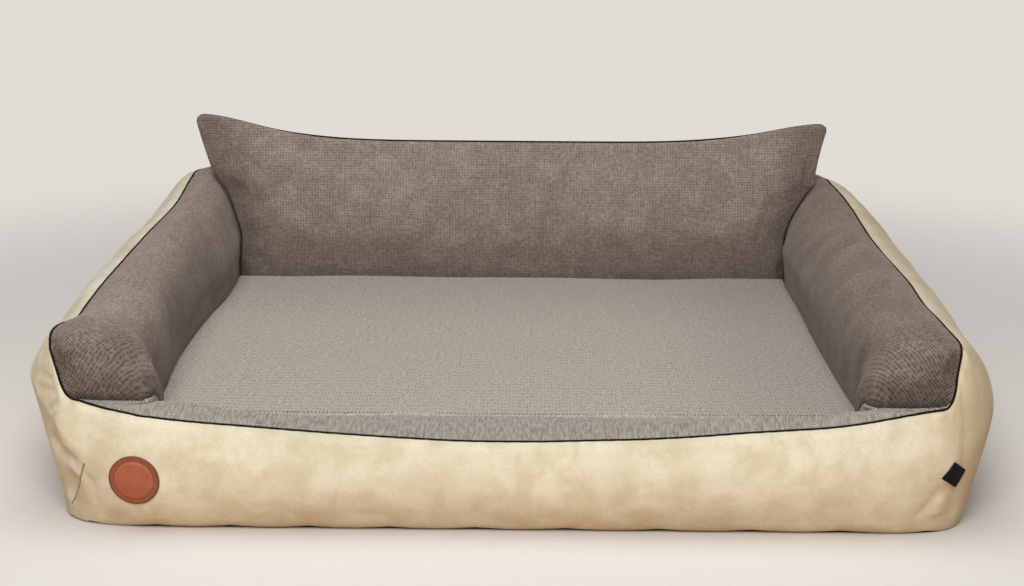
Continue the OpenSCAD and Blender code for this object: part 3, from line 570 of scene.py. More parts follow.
    def outer(self, rows, depth=0.0, fine=48):
        """The outer wall from the foot up to the piping, at a depth under the cloth's face."""
        low = np.linspace(90, 0, fine)[None, :] * math.pi / 180
        high = np.linspace(90, 6, fine)[None, 1:] * math.pi / 180
        power, upper_power = 2 / column(self.foot_full), 2 / column(self.outer_full)
        full, foot, rim = column(self.bulge) - depth, column(self.foot), column(self.rim)
        mid, top = column(self.bulge_h), column(self.rim_h) - depth
        out = np.concatenate([
            foot + (full - foot) * np.cos(low) ** power,
            rim + (full - rim) * np.sin(high) ** upper_power], axis=1)
        height = np.concatenate([
            mid - (mid - depth - self.floor) * np.sin(low) ** power,
            mid + (top - mid) * np.cos(high) ** upper_power], axis=1)
        seam = self.place(rim + 0.0004, column(self.rim_h) - 0.0012 - depth)
        return even_rows(np.concatenate([self.place(out, height), seam], axis=1), rows)

    def inner(self, rows, depth=0.0, fine=48):
        """The inner wall from the piping over the crest down to its foot in the nest."""
        rise = np.linspace(8, 90, fine)[None, :] * math.pi / 180
        drop = np.linspace(0, 90, fine)[None, 1:] * math.pi / 180
        power, lower_power = 2 / column(self.crest_full), 2 / column(self.inner_full)
        rim, crest, nest = column(self.rim), column(self.crest), column(self.nest)
        low, top, mid = column(self.rim_h), column(self.crest_h) - depth, column(self.inner_h)
        out = np.concatenate([
            rim - 0.0004,
            crest + (rim - depth - crest) * np.cos(rise) ** power,
            crest - (crest - nest - depth) * np.sin(drop) ** lower_power,
            nest + depth], axis=1)
        height = np.concatenate([
            low - 0.0012 - depth,
            low + (top - low) * np.sin(rise) ** power,
            mid + (top - mid) * np.cos(drop) ** lower_power,
            0 * nest + self.floor], axis=1)
        share = clamp01((rim - out) / (rim - nest))
        turned = self.lean_round(share)
        span = (out - nest) / (rim - nest)
        nest_there = at_many(self.nest_at, turned)
        rim_there = at_many(self.rim_at, turned) + column(self.rim - self.rim_at(self.angle))
        above = smooth(share / 0.35) * smooth((FRONT_SEAM - column(self.degrees)) / 20)
        rim_there = lerp(rim_there, at_many(self.dome_at, turned), above * (column(self.degrees) > 0))
        out = np.where(self.front[:, None], nest_there + span * (rim_there - nest_there), out)
        return even_rows(self.place(out, height, turned), rows)

    def lean_round(self, share):
        """Angles of the inner wall's points: a bolster's end leans over toward the front wall."""
        seam = FRONT_SEAM + 37.5 * smooth(share / 0.27)
        degrees = np.broadcast_to(self.degrees[:, None], share.shape)
        leaned = np.where(
            degrees < FRONT_SEAM, degrees * seam / FRONT_SEAM,
            seam + (degrees - FRONT_SEAM) * (90 - seam) / (90 - FRONT_SEAM))
        return np.radians(np.where(self.front[:, None], leaned, degrees))


def at_many(curve, angles):
    """A curve of the walls at several angles for each station."""
    return np.stack([curve(angle) for angle in angles.T], axis=1)


# Building blocks for meshes

def clear_selection():
    """Deselects everything, so that an operator acts on its own piece only."""
    for obj in bpy.context.view_layer.objects:
        obj.select_set(False)


def make_active(obj):
    """Selects one piece alone."""
    clear_selection()
    obj.select_set(True)
    bpy.context.view_layer.objects.active = obj


def apply_modifiers(obj):
    """Applies a piece's modifiers in order."""
    make_active(obj)
    for modifier in list(obj.modifiers):
        bpy.ops.object.modifier_apply(modifier=modifier.name)


def smooth_faces(obj):
    """Shades a soft piece smooth all over."""
    obj.data.polygons.foreach_set("use_smooth", [True] * len(obj.data.polygons))


def new_object(name, points, faces):
    """An object in the scene from points and faces."""
    mesh = bpy.data.meshes.new(name)
    mesh.from_pydata(np.asarray(points).tolist(), [], faces)
    obj = bpy.data.objects.new(name, mesh)
    bpy.context.scene.collection.objects.link(obj)
    return obj


def mesh_piece(name, points, faces, uvs=None):
    """A piece from points and faces, with a UV map in metres along the cloth."""
    obj = new_object(name, points, faces)
    mesh = obj.data
    if uvs is not None:
        layer = mesh.uv_layers.new(name="cloth")
        corner = np.empty(len(mesh.loops), dtype=np.int32)
        mesh.loops.foreach_get("vertex_index", corner)
        layer.data.foreach_set("uv", np.asarray(uvs)[corner].astype(np.float32).ravel())
    smooth_faces(obj)
    return obj


def grid_faces(columns, rows, ring=False, flip=False, base=0):
    """Quads of a grid whose points run down each column in turn."""
    faces = []
    for i in range(columns if ring else columns - 1):
        a, b = base + i * rows, base + ((i + 1) % columns) * rows
        for j in range(rows - 1):
            quad = (a + j, b + j, b + j + 1, a + j + 1)
            faces.append(quad[::-1] if flip else quad)
    return faces


def closing_faces(columns, rows, ring=False):
    """Quads that join the last row of a grid to its first."""
    starts = [(i * rows, (i + 1) % columns * rows) for i in range(columns if ring else columns - 1)]
    return [(a + rows - 1, b + rows - 1, b, a) for a, b in starts]


def band_faces(levels, count):
    """Quads between closed rings of so many points, from one ring to the next."""
    pairs = [(k * count, i, (i + 1) % count) for k in range(levels - 1) for i in range(count)]
    return [(start + i, start + after, start + count + after, start + count + i) for start, i, after in pairs]


def border_of(columns, rows):
    """The points round the edge of a grid, in order."""
    return ([i * rows for i in range(columns)] + [(columns - 1) * rows + j for j in range(1, rows)]
            + [i * rows + rows - 1 for i in range(columns - 2, -1, -1)] + list(range(rows - 2, 0, -1)))


def grid_lengths(grid):
    """UV places in metres of a grid: along each row from the middle column, and down each column."""
    u = run_down(grid.swapaxes(0, 1)).T
    return np.stack([u - u[len(u) // 2], run_down(grid)], axis=-1)


def thickened(obj, thickness):
    """A sheet given its thickness, inward from its face."""
    solid = obj.modifiers.new("Thickness", "SOLIDIFY")
    solid.thickness = thickness
    solid.offset = -1
    apply_modifiers(obj)
    return obj


def turn_outward(obj):
    """A closed piece with every face turned outward."""
    make_active(obj)
    bpy.ops.object.mode_set(mode="EDIT")
    bpy.ops.mesh.select_all(action="SELECT")
    bpy.ops.mesh.normals_make_consistent(inside=False)
    bpy.ops.object.mode_set(mode="OBJECT")
    return obj


def cloth_piece(name, grid, thickness, flip=False, uvs=None):
    """A sheet of cloth from a grid of points on its face, given its thickness inward."""
    uvs = grid_lengths(grid) if uvs is None else uvs
    sheet = mesh_piece(name, grid.reshape(-1, 3), grid_faces(*grid.shape[:2], flip=flip), uvs.reshape(-1, 2))
    return thickened(sheet, thickness)


def cord_piece(name, path, radius, sides, outward, wobble):
    """A sewn cord along a closed line of points, with a UV map along and round it."""
    count = len(path)
    tangent = np.roll(path, -1, axis=0) - np.roll(path, 1, axis=0)
    tangent /= np.linalg.norm(tangent, axis=1, keepdims=True)
    side = outward - tangent * (outward * tangent).sum(axis=1, keepdims=True)
    side /= np.linalg.norm(side, axis=1, keepdims=True)
    rise = np.cross(tangent, side)
    turns = np.linspace(0, 2 * math.pi, sides, endpoint=False)
    size = radius * (1 + wobble[:, None])
    ring = (path[:, None] + (size * np.cos(turns))[..., None] * side[:, None]
            + (size * np.sin(turns))[..., None] * rise[:, None])
    faces = [(i * sides + k, i * sides + (k + 1) % sides,
              (i + 1) % count * sides + (k + 1) % sides, (i + 1) % count * sides + k)
             for i in range(count) for k in range(sides)]
    uvs = np.stack([np.repeat(run_along(path), sides), np.tile(turns * radius, count)], axis=1)
    return turn_outward(mesh_piece(name, ring.reshape(-1, 3), faces, uvs))


def inflate(name, points, faces, held, pressure, frames, shrink=-0.01, bend=1.0):
    """Lets the stuffing press a cover out as cloth, with the held points kept, and returns the points."""
    if pressure <= 0:
        return points
    corners = points[np.asarray(faces)]
    volume = np.einsum("ij,ij->", corners[:, 0], np.cross(corners[:, 1], corners[:, 2]))
    volume += np.einsum("ij,ij->", corners[:, 0], np.cross(corners[:, 2], corners[:, 3]))
    if volume < 0:
        faces = [face[::-1] for face in faces]
    obj = new_object(name, points, faces)
    mesh = obj.data
    group = obj.vertex_groups.new(name="held")
    held = held.round(2)
    for weight in np.unique(held[held > 0]):
        group.add(np.nonzero(held == weight)[0].tolist(), float(weight), "REPLACE")
    cloth = obj.modifiers.new("Cloth", "CLOTH")
    settings = cloth.settings
    settings.quality = 6
    settings.mass = 0.25
    settings.tension_stiffness = settings.compression_stiffness = 18
    settings.shear_stiffness = 8
    settings.bending_stiffness = bend
    settings.air_damping = 2
    settings.vertex_group_mass = "held"
    settings.pin_stiffness = 2
    settings.shrink_min = shrink
    settings.use_pressure = True
    settings.uniform_pressure_force = pressure
    settings.effector_weights.gravity = 0
    cloth.point_cache.frame_start = 1
    cloth.point_cache.frame_end = frames
    scene = bpy.context.scene
    for number in range(1, frames + 1):
        scene.frame_set(number)
    shaped = obj.evaluated_get(bpy.context.evaluated_depsgraph_get()).to_mesh()
    out = np.empty(len(shaped.vertices) * 3)
    shaped.vertices.foreach_get("co", out)
    bpy.data.objects.remove(obj, do_unlink=True)
    bpy.data.meshes.remove(mesh)
    scene.frame_set(1)
    return out.reshape(-1, 3)


# Shader parts

FLOAT, VECTOR = "NodeSocketFloat", "NodeSocketVector"
BLACK = (0.0, 0.0, 0.0)


def times(colour, share):
    """A colour made darker or lighter."""
    return tuple(min(1.0, part * share) for part in colour)


class Nodes:
    """A node tree, with short ways to add what the finishes need."""

    def __init__(self, tree):
        self.tree = tree

    def join(self, value, socket):
        """Links a value to an input, or sets the input to a plain value."""
        if isinstance(value, bpy.types.NodeSocket):
            self.tree.links.new(value, socket)
        elif socket.type == "RGBA" and len(value) == 3:
            socket.default_value = (*value, 1.0)
        else:
            socket.default_value = value

    def put(self, kind, inputs=None, **settings):
        """Adds a node, joins its inputs by name or number, and returns its outputs."""
        node = self.tree.nodes.new(kind)
        for key, value in settings.items():
            setattr(node, key, value)
        for key, value in (inputs or {}).items():
            self.join(value, node.inputs[key])
        return node.outputs

    def maths(self, operation, *values, clamp=False):
        """A Math node's output."""
        return self.put("ShaderNodeMath", dict(enumerate(values)), operation=operation, use_clamp=clamp)[0]

    def product(self, first, second):
        """One value times another."""
        return self.maths("MULTIPLY", first, second)

    def vectors(self, operation, output, *values):
        """A Vector Math node's output."""
        return self.put("ShaderNodeVectorMath", dict(enumerate(values)), operation=operation)[output]

    def parts(self, vector):
        """The three parts of a vector."""
        return self.put("ShaderNodeSeparateXYZ", {0: vector})

    def mixed(self, factor, first, second, blend="MIX"):
        """A colour between two."""
        inputs = {0: factor, 6: first, 7: second}
        return self.put("ShaderNodeMix", inputs, data_type="RGBA", blend_type=blend)[2]

    def spread(self, value, low, high, to_low=0.0, to_high=1.0):
        """A value from one range eased into another."""
        return self.put("ShaderNodeMapRange", {0: value, 1: low, 2: high, 3: to_low, 4: to_high},
                        interpolation_type="SMOOTHSTEP")[0]

    def noise(self, place, scale, detail, **more):
        """Noise at a place, in four dimensions where a seed W is given."""
        return self.put("ShaderNodeTexNoise", {"Vector": place, "Scale": scale, "Detail": detail, **more},
                        noise_dimensions="4D" if "W" in more else "3D")[0]

    def drift(self, place, scale, detail, amount):
        """A soft shift to and fro of a pattern."""
        return self.product(self.maths("SUBTRACT", self.noise(place, scale, detail), 0.5), amount)

    def wave(self, place, pitch, turns=1.0):
        """A wave along a place, from -1 to 1, with so many turns in each pitch."""
        return self.maths("COSINE", self.product(self.maths("DIVIDE", place, pitch), 2 * math.pi * turns))


def nap_effect(t, given):
    """Cloudy patches where a brushed nap lies over, and the fine grain of the nap."""
    scale = t.maths("DIVIDE", 1.0, given["Cloud size"])
    clouds = t.noise(given["Place"], scale, 3.0, W=given["Seed"], Roughness=0.55, Distortion=0.6)
    patches = t.noise(given["Place"], t.product(scale, 0.28), 2.0, W=given["Seed"], Roughness=0.5)
    grain = t.noise(given["Place"], t.maths("DIVIDE", 1.0, given["Grain size"]), 2.0, Roughness=0.7)
    return t.spread(clouds, 0.34, 0.68), t.spread(patches, 0.36, 0.64), t.spread(grain, 0.25, 0.75)


def knit_effect(t, given):
    """Small pits in staggered rows across a cloth, or a plain grid of hollows at a stagger of 0."""
    shifted = t.drift(given["Place"], 90.0, 2.5, given["Wander"])
    strength = t.spread(t.noise(given["Place"], 210.0, 1.0), 0.32, 0.60, 0.30, 1.0)
    across, along, _ = t.parts(given["Place"])
    waves = [t.wave(t.maths("ADD", across, shifted), given["Pitch across"]),
             t.wave(t.maths("ADD", along, shifted), given["Pitch along"])]
    staggered = t.maths("MULTIPLY_ADD", t.maths("MULTIPLY", *waves), 0.5, 0.5)
    plain = t.maths("MULTIPLY_ADD", t.maths("ADD", *waves), 0.25, 0.5)
    wave = t.spread(given["Stagger"], 0.0, 1.0, plain, staggered)
    pits = t.product(t.maths("POWER", wave, given["Sharpness"]), strength)
    return pits, t.maths("SUBTRACT", 1.0, pits)


def rib_effect(t, given):
    """Broken twill lines across a cloth, and the threads that break them."""
    shifted = t.drift(given["Place"], 26.0, 2.0, given["Wander"])
    across, along, _ = t.parts(given["Place"])
    slanted = t.maths("MULTIPLY_ADD", along, given["Slant"], across)
    ribs = t.maths("MULTIPLY_ADD", t.wave(t.maths("ADD", slanted, shifted), given["Pitch"]), 0.5, 0.5)
    drawn = t.put("ShaderNodeMapping", {"Vector": given["Place"], "Scale": (330.0, 60.0, 60.0)})[0]
    uneven = t.spread(t.noise(drawn, 1.0, 2.0), 0.3, 0.7)
    threads = t.maths("MULTIPLY_ADD", t.wave(along, given["Pitch"], 0.8), 0.25, uneven)
    return t.product(ribs, t.maths("SUBTRACT", 1.0, t.product(given["Break"], threads))), threads


def seam_effect(t, given):
    """A thin line between two places, as a sewn seam shows."""
    span = t.vectors("SUBTRACT", "Vector", given["To"], given["From"])
    gone = t.vectors("SUBTRACT", "Vector", given["Place"], given["From"])
    share = t.maths("DIVIDE", t.vectors("DOT_PRODUCT", "Value", gone, span),
                    t.vectors("DOT_PRODUCT", "Value", span, span), clamp=True)
    reached = t.put("ShaderNodeVectorMath", {0: span, 3: share}, operation="SCALE")["Vector"]
    away = t.vectors("LENGTH", "Value", t.vectors("SUBTRACT", "Vector", gone, reached))
    return (t.spread(t.maths("DIVIDE", away, given["Width"]), 0.5, 1.0, 1.0, 0.0),)


# Shared effects: what wires them, their inputs with defaults (none for a vector) and their outputs
EFFECTS = {
    "Brushed nap": (nap_effect, {"Place": None, "Cloud size": 0.05, "Grain size": 0.0015, "Seed": 0.0},
                    ("Clouds", "Patches", "Grain")),
    "Waffle knit": (knit_effect, {"Place": None, "Pitch across": 0.004, "Pitch along": 0.004,
                                  "Wander": 0.0006, "Sharpness": 1.6, "Stagger": 1.0}, ("Pits", "Relief")),
    "Ribbed weave": (rib_effect, {"Place": None, "Pitch": 0.004, "Slant": 0.0, "Wander": 0.001, "Break": 0.3},
                     ("Ribs", "Threads")),
    "Seam line": (seam_effect, {"Place": None, "From": None, "To": None, "Width": 0.001}, ("Line",)),
}


def effect_group(name):
    """The node group of a shared effect, built the first time it is asked for."""
    if name not in bpy.data.node_groups:
        wire, inputs, outputs = EFFECTS[name]
        tree = bpy.data.node_groups.new(name, "ShaderNodeTree")
        for socket, default in inputs.items():
            kind = VECTOR if default is None else FLOAT
            made = tree.interface.new_socket(socket, in_out="INPUT", socket_type=kind)
            if default is not None:
                made.default_value = default
        for socket in outputs:
            tree.interface.new_socket(socket, in_out="OUTPUT", socket_type=FLOAT)
        nodes = Nodes(tree)
        given = tree.nodes.new("NodeGroupInput").outputs
        out = tree.nodes.new("NodeGroupOutput").inputs
        for socket, value in zip(outputs, wire(nodes, given)):
            nodes.join(value, out[socket])
    return bpy.data.node_groups[name]


class Paint(Nodes):
    """A material in the making: its shader, the places its patterns follow, and its colour so far."""

    def __init__(self, name, roughness, sheen=0.0, sheen_tint=(1, 1, 1), specular=0.3,
                 coat=0.0, coat_roughness=0.2, metallic=0.0):
        self.material = bpy.data.materials.new(name)
        self.material.use_nodes = True
        super().__init__(self.material.node_tree)
        self.shader = self.tree.nodes["Principled BSDF"].inputs
        for socket, value in (
                ("Roughness", roughness), ("Sheen Weight", sheen), ("Sheen Roughness", 0.45),
                ("Sheen Tint", sheen_tint), ("Specular IOR Level", specular), ("Coat Weight", coat),
                ("Coat Roughness", coat_roughness), ("Metallic", metallic)):
            self.join(value, self.shader[socket])
        spots = self.put("ShaderNodeTexCoord")
        self.at, self.uv, self.normal = spots["Object"], spots["UV"], spots["Normal"]

    def effect(self, name, values):
        """A shared effect's outputs, with this finish's own values."""
        node = self.tree.nodes.new("ShaderNodeGroup")
        node.node_tree = effect_group(name)
        for key, value in values.items():
            self.join(value, node.inputs[key])
        return node.outputs

    def nap(self, clouds, grain, seed=0.0):
        """The brushed nap on the piece's own coordinates."""
        return self.effect("Brushed nap", {
            "Place": self.at, "Cloud size": clouds, "Grain size": grain, "Seed": seed})

    def knit(self, across, along, wandering, sharpness, stagger=1.0):
        """The waffle knit along the cloth."""
        return self.effect("Waffle knit", {
            "Place": self.uv, "Pitch across": across, "Pitch along": along, "Wander": wandering,
            "Sharpness": sharpness, "Stagger": stagger})

    def over(self, mask, share, colour):
        """Lays a colour over the one so far."""
        self.colour = self.mixed(self.product(mask, share), self.colour, colour)

    def shade(self, amount):
        """Darkens or lightens the colour so far."""
        self.colour = self.mixed(1.0, self.colour, amount, "MULTIPLY")

    def done(self, rough=None, relief=None):
        """Joins the colour, roughness (mask, low, high) and relief (height, strength, distance)."""
        self.join(self.colour, self.shader["Base Color"])
        if rough:
            mask, low, high = rough
            self.join(self.spread(mask, 0, 1, low, high), self.shader["Roughness"])
        if relief:
            self.join(self.put("ShaderNodeBump", dict(zip(("Height", "Strength", "Distance"), relief)))[0],
                      self.shader["Normal"])
        return self.material


# Finishes

def nubuck(c):
    """Brushed imitation nubuck of the outer walls."""
    p = Paint("Nubuck", 0.9, 0.12, (1, 0.96, 0.88), 0.2)
    nap = p.nap(0.042, 0.0032)
    weave = p.knit(0.0030, 0.0052, 0.002, 1.0)
    across, _, height = p.parts(p.at)
    p.colour = p.mixed(p.product(nap["Clouds"], 0.50), c.nubuck, c.nubuck_deep)
    p.over(nap["Patches"], 0.30, times(c.nubuck, 0.80))
    # Painted shade with a warm painted reflection: the outer walls' right corner is darkened toward a warmer
    # tone.
    painted_warm_shade = tuple(part * share for part, share in zip(c.nubuck_deep, (1.0, 0.88, 0.80)))
    p.over(p.spread(across, 0.43, 0.55), 0.55, painted_warm_shade)
    # Painted shade: faces that turn upward are darkened, against the light from above.
    p.shade(p.spread(p.parts(p.normal)[2], 0.15, 0.75, 1.0, 0.80))
    along_wall = p.vectors("DOT_PRODUCT", "Value", p.at, (*DART_WAY, 0.0))
    flat = p.put("ShaderNodeCombineXYZ", {0: along_wall, 1: height})[0]
    seam = 0.0
    for ends in zip(DART, DART[1:]):
        start, end = [(DART_WAY[0] * x + DART_WAY[1] * y, high, 0.0) for x, y, high in ends]
        line = p.effect("Seam line", {"Place": flat, "From": start, "To": end, "Width": 0.0016})["Line"]
        seam = p.maths("MAXIMUM", line, seam)
    seam = p.product(seam, p.spread(across, -0.46, -0.45, 0.8, 0.0))
    p.colour = p.mixed(seam, p.colour, times(c.nubuck_deep, 0.30))
    fine = p.maths("MULTIPLY_ADD", weave["Pits"], 0.35, p.product(nap["Grain"], 0.65))
    p.over(fine, 0.22, times(c.nubuck_deep, 0.66))
    return p.done((nap["Clouds"], 0.82, 0.94), (p.maths("SUBTRACT", fine, seam), 0.25, 0.0006))


def painted_facing_shade(p, side, right_top, low):
    """Painted shade where less light falls: upright faces, the right bolster and the front ends, and with low
    the foot and ends.
    """
    across, along, height = p.parts(p.at)
    top = p.spread(across, 0.28, 0.40, 1.0, right_top)
    if low is None:
        top = p.maths("MINIMUM", top, p.spread(along, -0.42, -0.34, 0.66, 1.0))
        side = p.spread(across, 0.18, 0.30, side, side * 0.84)
    shade = p.spread(p.parts(p.normal)[2], 0.10, 0.80, side, top)
    if low is not None:
        shade = p.product(shade, p.spread(height, 0.10, 0.21, low, 1.0))
        shade = p.product(shade, p.spread(p.maths("ABSOLUTE", across), 0.36, 0.45, 1.0, low))
    p.shade(shade)


def velour(c, name="Velour", across=0.0050, along=0.0042, lift=1.24, clouds=0.03, stagger=1.0,
           side=0.53, right_top=0.70, low=None, depth=1.0):
    """Knitted velour with rows of small pits."""
    p = Paint(name, 0.94, 0.20, (0.95, 0.82, 0.70), 0.1)
    nap = p.nap(clouds, 0.0016, 3.0)
    knit = p.knit(across, along, 0.0030, 1.1, stagger)
    dull, light = times(c.velour, 0.88 * lift), times(c.velour, 1.22 * lift)
    p.colour = p.mixed(p.product(nap["Clouds"], 0.75), dull, light)
    p.over(nap["Patches"], 0.25, times(c.velour, 0.8))
    p.over(knit["Pits"], depth, c.velour_deep)
    p.over(nap["Grain"], 0.16, times(c.velour, 0.6))
    p.shade(p.spread(p.noise(p.uv, 170.0, 3.0), 0.34, 0.66, 0.90, 1.10))
    # Painted shade by the way each face turns and where it stands.
    painted_facing_shade(p, side, right_top, low)
    return p.done((nap["Patches"], 0.86, 0.96),
                  (p.maths("MULTIPLY_ADD", nap["Grain"], 0.3, knit["Relief"]), 0.6, 0.0009))


def dashed(c):
    """The mattress's cloth: fine broken dashes along the bed's depth."""
    p = Paint("Ribbed cloth", 0.9, 0.22, (1, 0.97, 0.93), 0.2)
    nap = p.nap(0.05, 0.0015, 8.0)
    knit = p.knit(0.0042, 0.0115, 0.0026, 1.0, 0.55)
    p.colour = p.mixed(knit["Pits"], times(c.ribbed, 1.05), times(c.ribbed_deep, 0.58))
    p.over(nap["Clouds"], 0.34, times(c.ribbed, 0.78))
    p.over(nap["Grain"], 0.22, times(c.ribbed_deep, 0.6))
    across, along, _ = p.parts(p.at)
    # Painted shade: the mattress cloth is darkened toward the rear and toward the right, where less light
    # falls.
    p.shade(p.product(p.spread(along, -0.05, 0.34, 1.0, 0.80), p.spread(across, 0.12, 0.40, 1.0, 0.80)))
    return p.done((knit["Pits"], 0.84, 0.95),
                  (p.maths("MULTIPLY_ADD", nap["Grain"], 0.3, knit["Relief"]), 0.5, 0.0008))


def ribbed(c):
    """The front strip's cloth: broken twill lines."""
    p = Paint("Strip cloth", 0.9, 0.22, (1, 0.97, 0.93), 0.2)
    nap = p.nap(0.04, 0.0014, 8.0)
    ribs = p.effect("Ribbed weave", {
        "Place": p.uv, "Pitch": 0.0030, "Slant": 0.70, "Wander": 0.004, "Break": 0.7})
    p.colour = p.mixed(ribs["Ribs"], times(c.ribbed_deep, 0.52), times(c.ribbed, 1.36))
    p.over(nap["Clouds"], 0.30, times(c.ribbed, 0.72))
    p.over(nap["Grain"], 0.25, times(c.ribbed_deep, 0.5))
    return p.done((ribs["Threads"], 0.84, 0.95),
                  (p.maths("MULTIPLY_ADD", nap["Grain"], 0.3, ribs["Ribs"]), 0.5, 0.0008))


def woven(name, colour, pitch, roughness, sheen=0.0, lighter=1.6):
    """Tight plain weave in one colour, as on piping, tapes, tag and base."""
    p = Paint(name, roughness, sheen, (1, 1, 1), 0.12)
    nap = p.nap(0.02, 0.0009, 5.0)
    knit = p.knit(pitch, pitch, 0.0003, 1.0)
    p.colour = p.mixed(knit["Relief"], times(colour, 0.7), times(colour, lighter))
    p.over(nap["Clouds"], 0.3, colour)
    return p.done((nap["Grain"], roughness - 0.08, min(1, roughness + 0.1)), (knit["Relief"], 0.5, 0.0003))


def leather(c):
    """Vegetable-tanned leather with a burnished edge and a pressed ring, around the patch's middle."""
    p = Paint("Leather", 0.5, specular=0.4, coat=0.06, coat_roughness=0.45)
    nap = p.nap(0.012, 0.0006, 1.0)
    pores = p.put("ShaderNodeTexVoronoi", {"Vector": p.at, "Scale": 900.0}, feature="DISTANCE_TO_EDGE")
    creased = p.spread(pores["Distance"], 0.0, 0.12)
    away = p.vectors("LENGTH", "Value", p.uv)
    p.colour = p.mixed(p.product(nap["Clouds"], 0.5), c.leather, times(c.leather, 0.72))
    p.over(p.spread(away, 0.0215, 0.0285), 0.85, c.leather_edge)
    from_ring = p.maths("ABSOLUTE", p.maths("SUBTRACT", away, 0.0228))
    p.over(p.spread(from_ring, 0.0010, 0.0002), 0.75, c.leather_edge)
    p.over(p.maths("SUBTRACT", 1.0, creased), 0.25, c.leather_edge)
    height = p.maths("MULTIPLY_ADD", nap["Grain"], 0.4, creased)
    return p.done((nap["Grain"], 0.42, 0.62), (height, 0.35, 0.0003))


def foamed(name, colour, cell=0.0016):
    """Open-celled foam."""
    p = Paint(name, 0.95, 0.05, specular=0.15)
    cells = p.put("ShaderNodeTexVoronoi", {"Vector": p.at, "Scale": 1 / cell})
    hole = p.spread(cells["Distance"], 0.1, 0.5)
    nap = p.nap(0.03, 0.001)
    p.colour = p.mixed(hole, times(colour, 0.72), colour)
    p.over(nap["Clouds"], 0.2, times(colour, 0.85))
    return p.done((nap["Grain"], 0.9, 1.0), (hole, 0.5, 0.0008))


def fluffy(c):
    """Loose fibre in strands."""
    p = Paint("Fibre", 1.0, 0.3, specular=0.1)
    drawn = p.put("ShaderNodeMapping", {
        "Vector": p.at, "Scale": (90.0, 260.0, 420.0), "Rotation": (0.4, 0.7, 0.2)})[0]
    line = p.spread(p.noise(drawn, 1.0, 4.0, Distortion=1.4), 0.35, 0.65)
    p.colour = p.mixed(line, times(c.fibre, 0.8), c.fibre)
    p.over(p.nap(0.04, 0.002)["Clouds"], 0.25, times(c.fibre, 0.9))
    return p.done(relief=(line, 0.7, 0.002))


def moulded(name, colour, metallic=0.0, roughness=0.42):
    """Moulded or lacquered trim, worn lighter in small scuffs."""
    p = Paint(name, roughness, specular=0.5, metallic=metallic, coat=0.1)
    nap = p.nap(0.006, 0.0005, 2.0)
    p.colour = p.mixed(p.product(nap["Clouds"], 0.4), colour, times(colour, 1.35))
    p.over(p.spread(nap["Grain"], 0.6, 1.0), 0.2, tuple(min(1, part * 2.2 + 0.02) for part in colour))
    return p.done((nap["Clouds"], roughness - 0.1, roughness + 0.12), (nap["Grain"], 0.08, 0.0001))


def seen_rays(t):
    """1 for rays that show a surface or its mirror image, 0 for those that only light others."""
    rays = t.put("ShaderNodeLightPath")
    mirrored = t.maths("ADD", rays["Is Camera Ray"], rays["Is Glossy Ray"])
    return t.maths("ADD", mirrored, rays["Is Transmission Ray"], clamp=True)


def studio_floor(c):
    """Plain pale floor, even far away, which throws back light as a warm floor does."""
    p = Paint("Studio floor", 0.9, specular=0.0)
    seen = seen_rays(p)
    far = p.product(p.spread(p.vectors("LENGTH", "Value", p.at), 0.65, 1.9), seen)
    p.colour = p.mixed(far, p.mixed(seen, c.floor_bounce, c.floor), BLACK)
    p.join(p.mixed(far, BLACK, c.backdrop), p.shader["Emission Color"])
    p.shader["Emission Strength"].default_value = 1.0
    return p.done()


FINISHES = {
    "nubuck": nubuck,
    "velour": velour,
    "cushion velour": lambda c: velour(
        c, "Cushion velour", 0.0044, 0.0038, 1.07, 0.026, 0.1, 1.0, 1.0, 0.74, depth=0.62),
    "mattress cloth": dashed,
    "strip cloth": ribbed,
    "piping": lambda c: woven("Piping cloth", c.piping, 0.0012, 0.9, lighter=1.25),
    "tag": lambda c: woven("Tag ribbon", c.tag, 0.0008, 0.7),
    "base": lambda c: woven("Base cloth", c.base, 0.0030, 0.62),
    "zip tape": lambda c: woven("Zip tape", c.zip_cloth, 0.0009, 0.8, 0.1),
    "zip teeth": lambda c: moulded("Zip teeth", c.zip_plastic),
    "zip metal": lambda c: moulded("Zip metal", c.zip_metal, 0.85, 0.36),
    "thread": lambda c: woven("Thread", times(c.velour, 0.34), 0.0005, 0.85, lighter=1.2),
    "leather": leather,
    "foam": lambda c: foamed("Foam", c.foam),
    "memory foam": lambda c: foamed("Memory foam", c.memory_foam, 0.0009),
    "fibre": fluffy,
    "floor": studio_floor,
}


@cache
def finish(name):
    """The material of a finish, made the first time it is asked for."""
    return FINISHES[name](bpy.context.scene.bed_colours)


def dress(obj, name):
    """Gives a piece one finish all over."""
    obj.data.materials.clear()
    obj.data.materials.append(finish(name))
    return obj


# The walls as one ring of cloth

RING_ROWS = (30, 34)
DOME_ROUNDS = 40
DOME_STUFFED = 0.006
NARROW_ROUNDS = 12

# How far the settling may move a cover: straight out on either side of the piping, and along itself
OUTER_ROOM = 0.0030
INNER_ROOM = 0.0045
SIDEWAYS_ROOM = 0.003

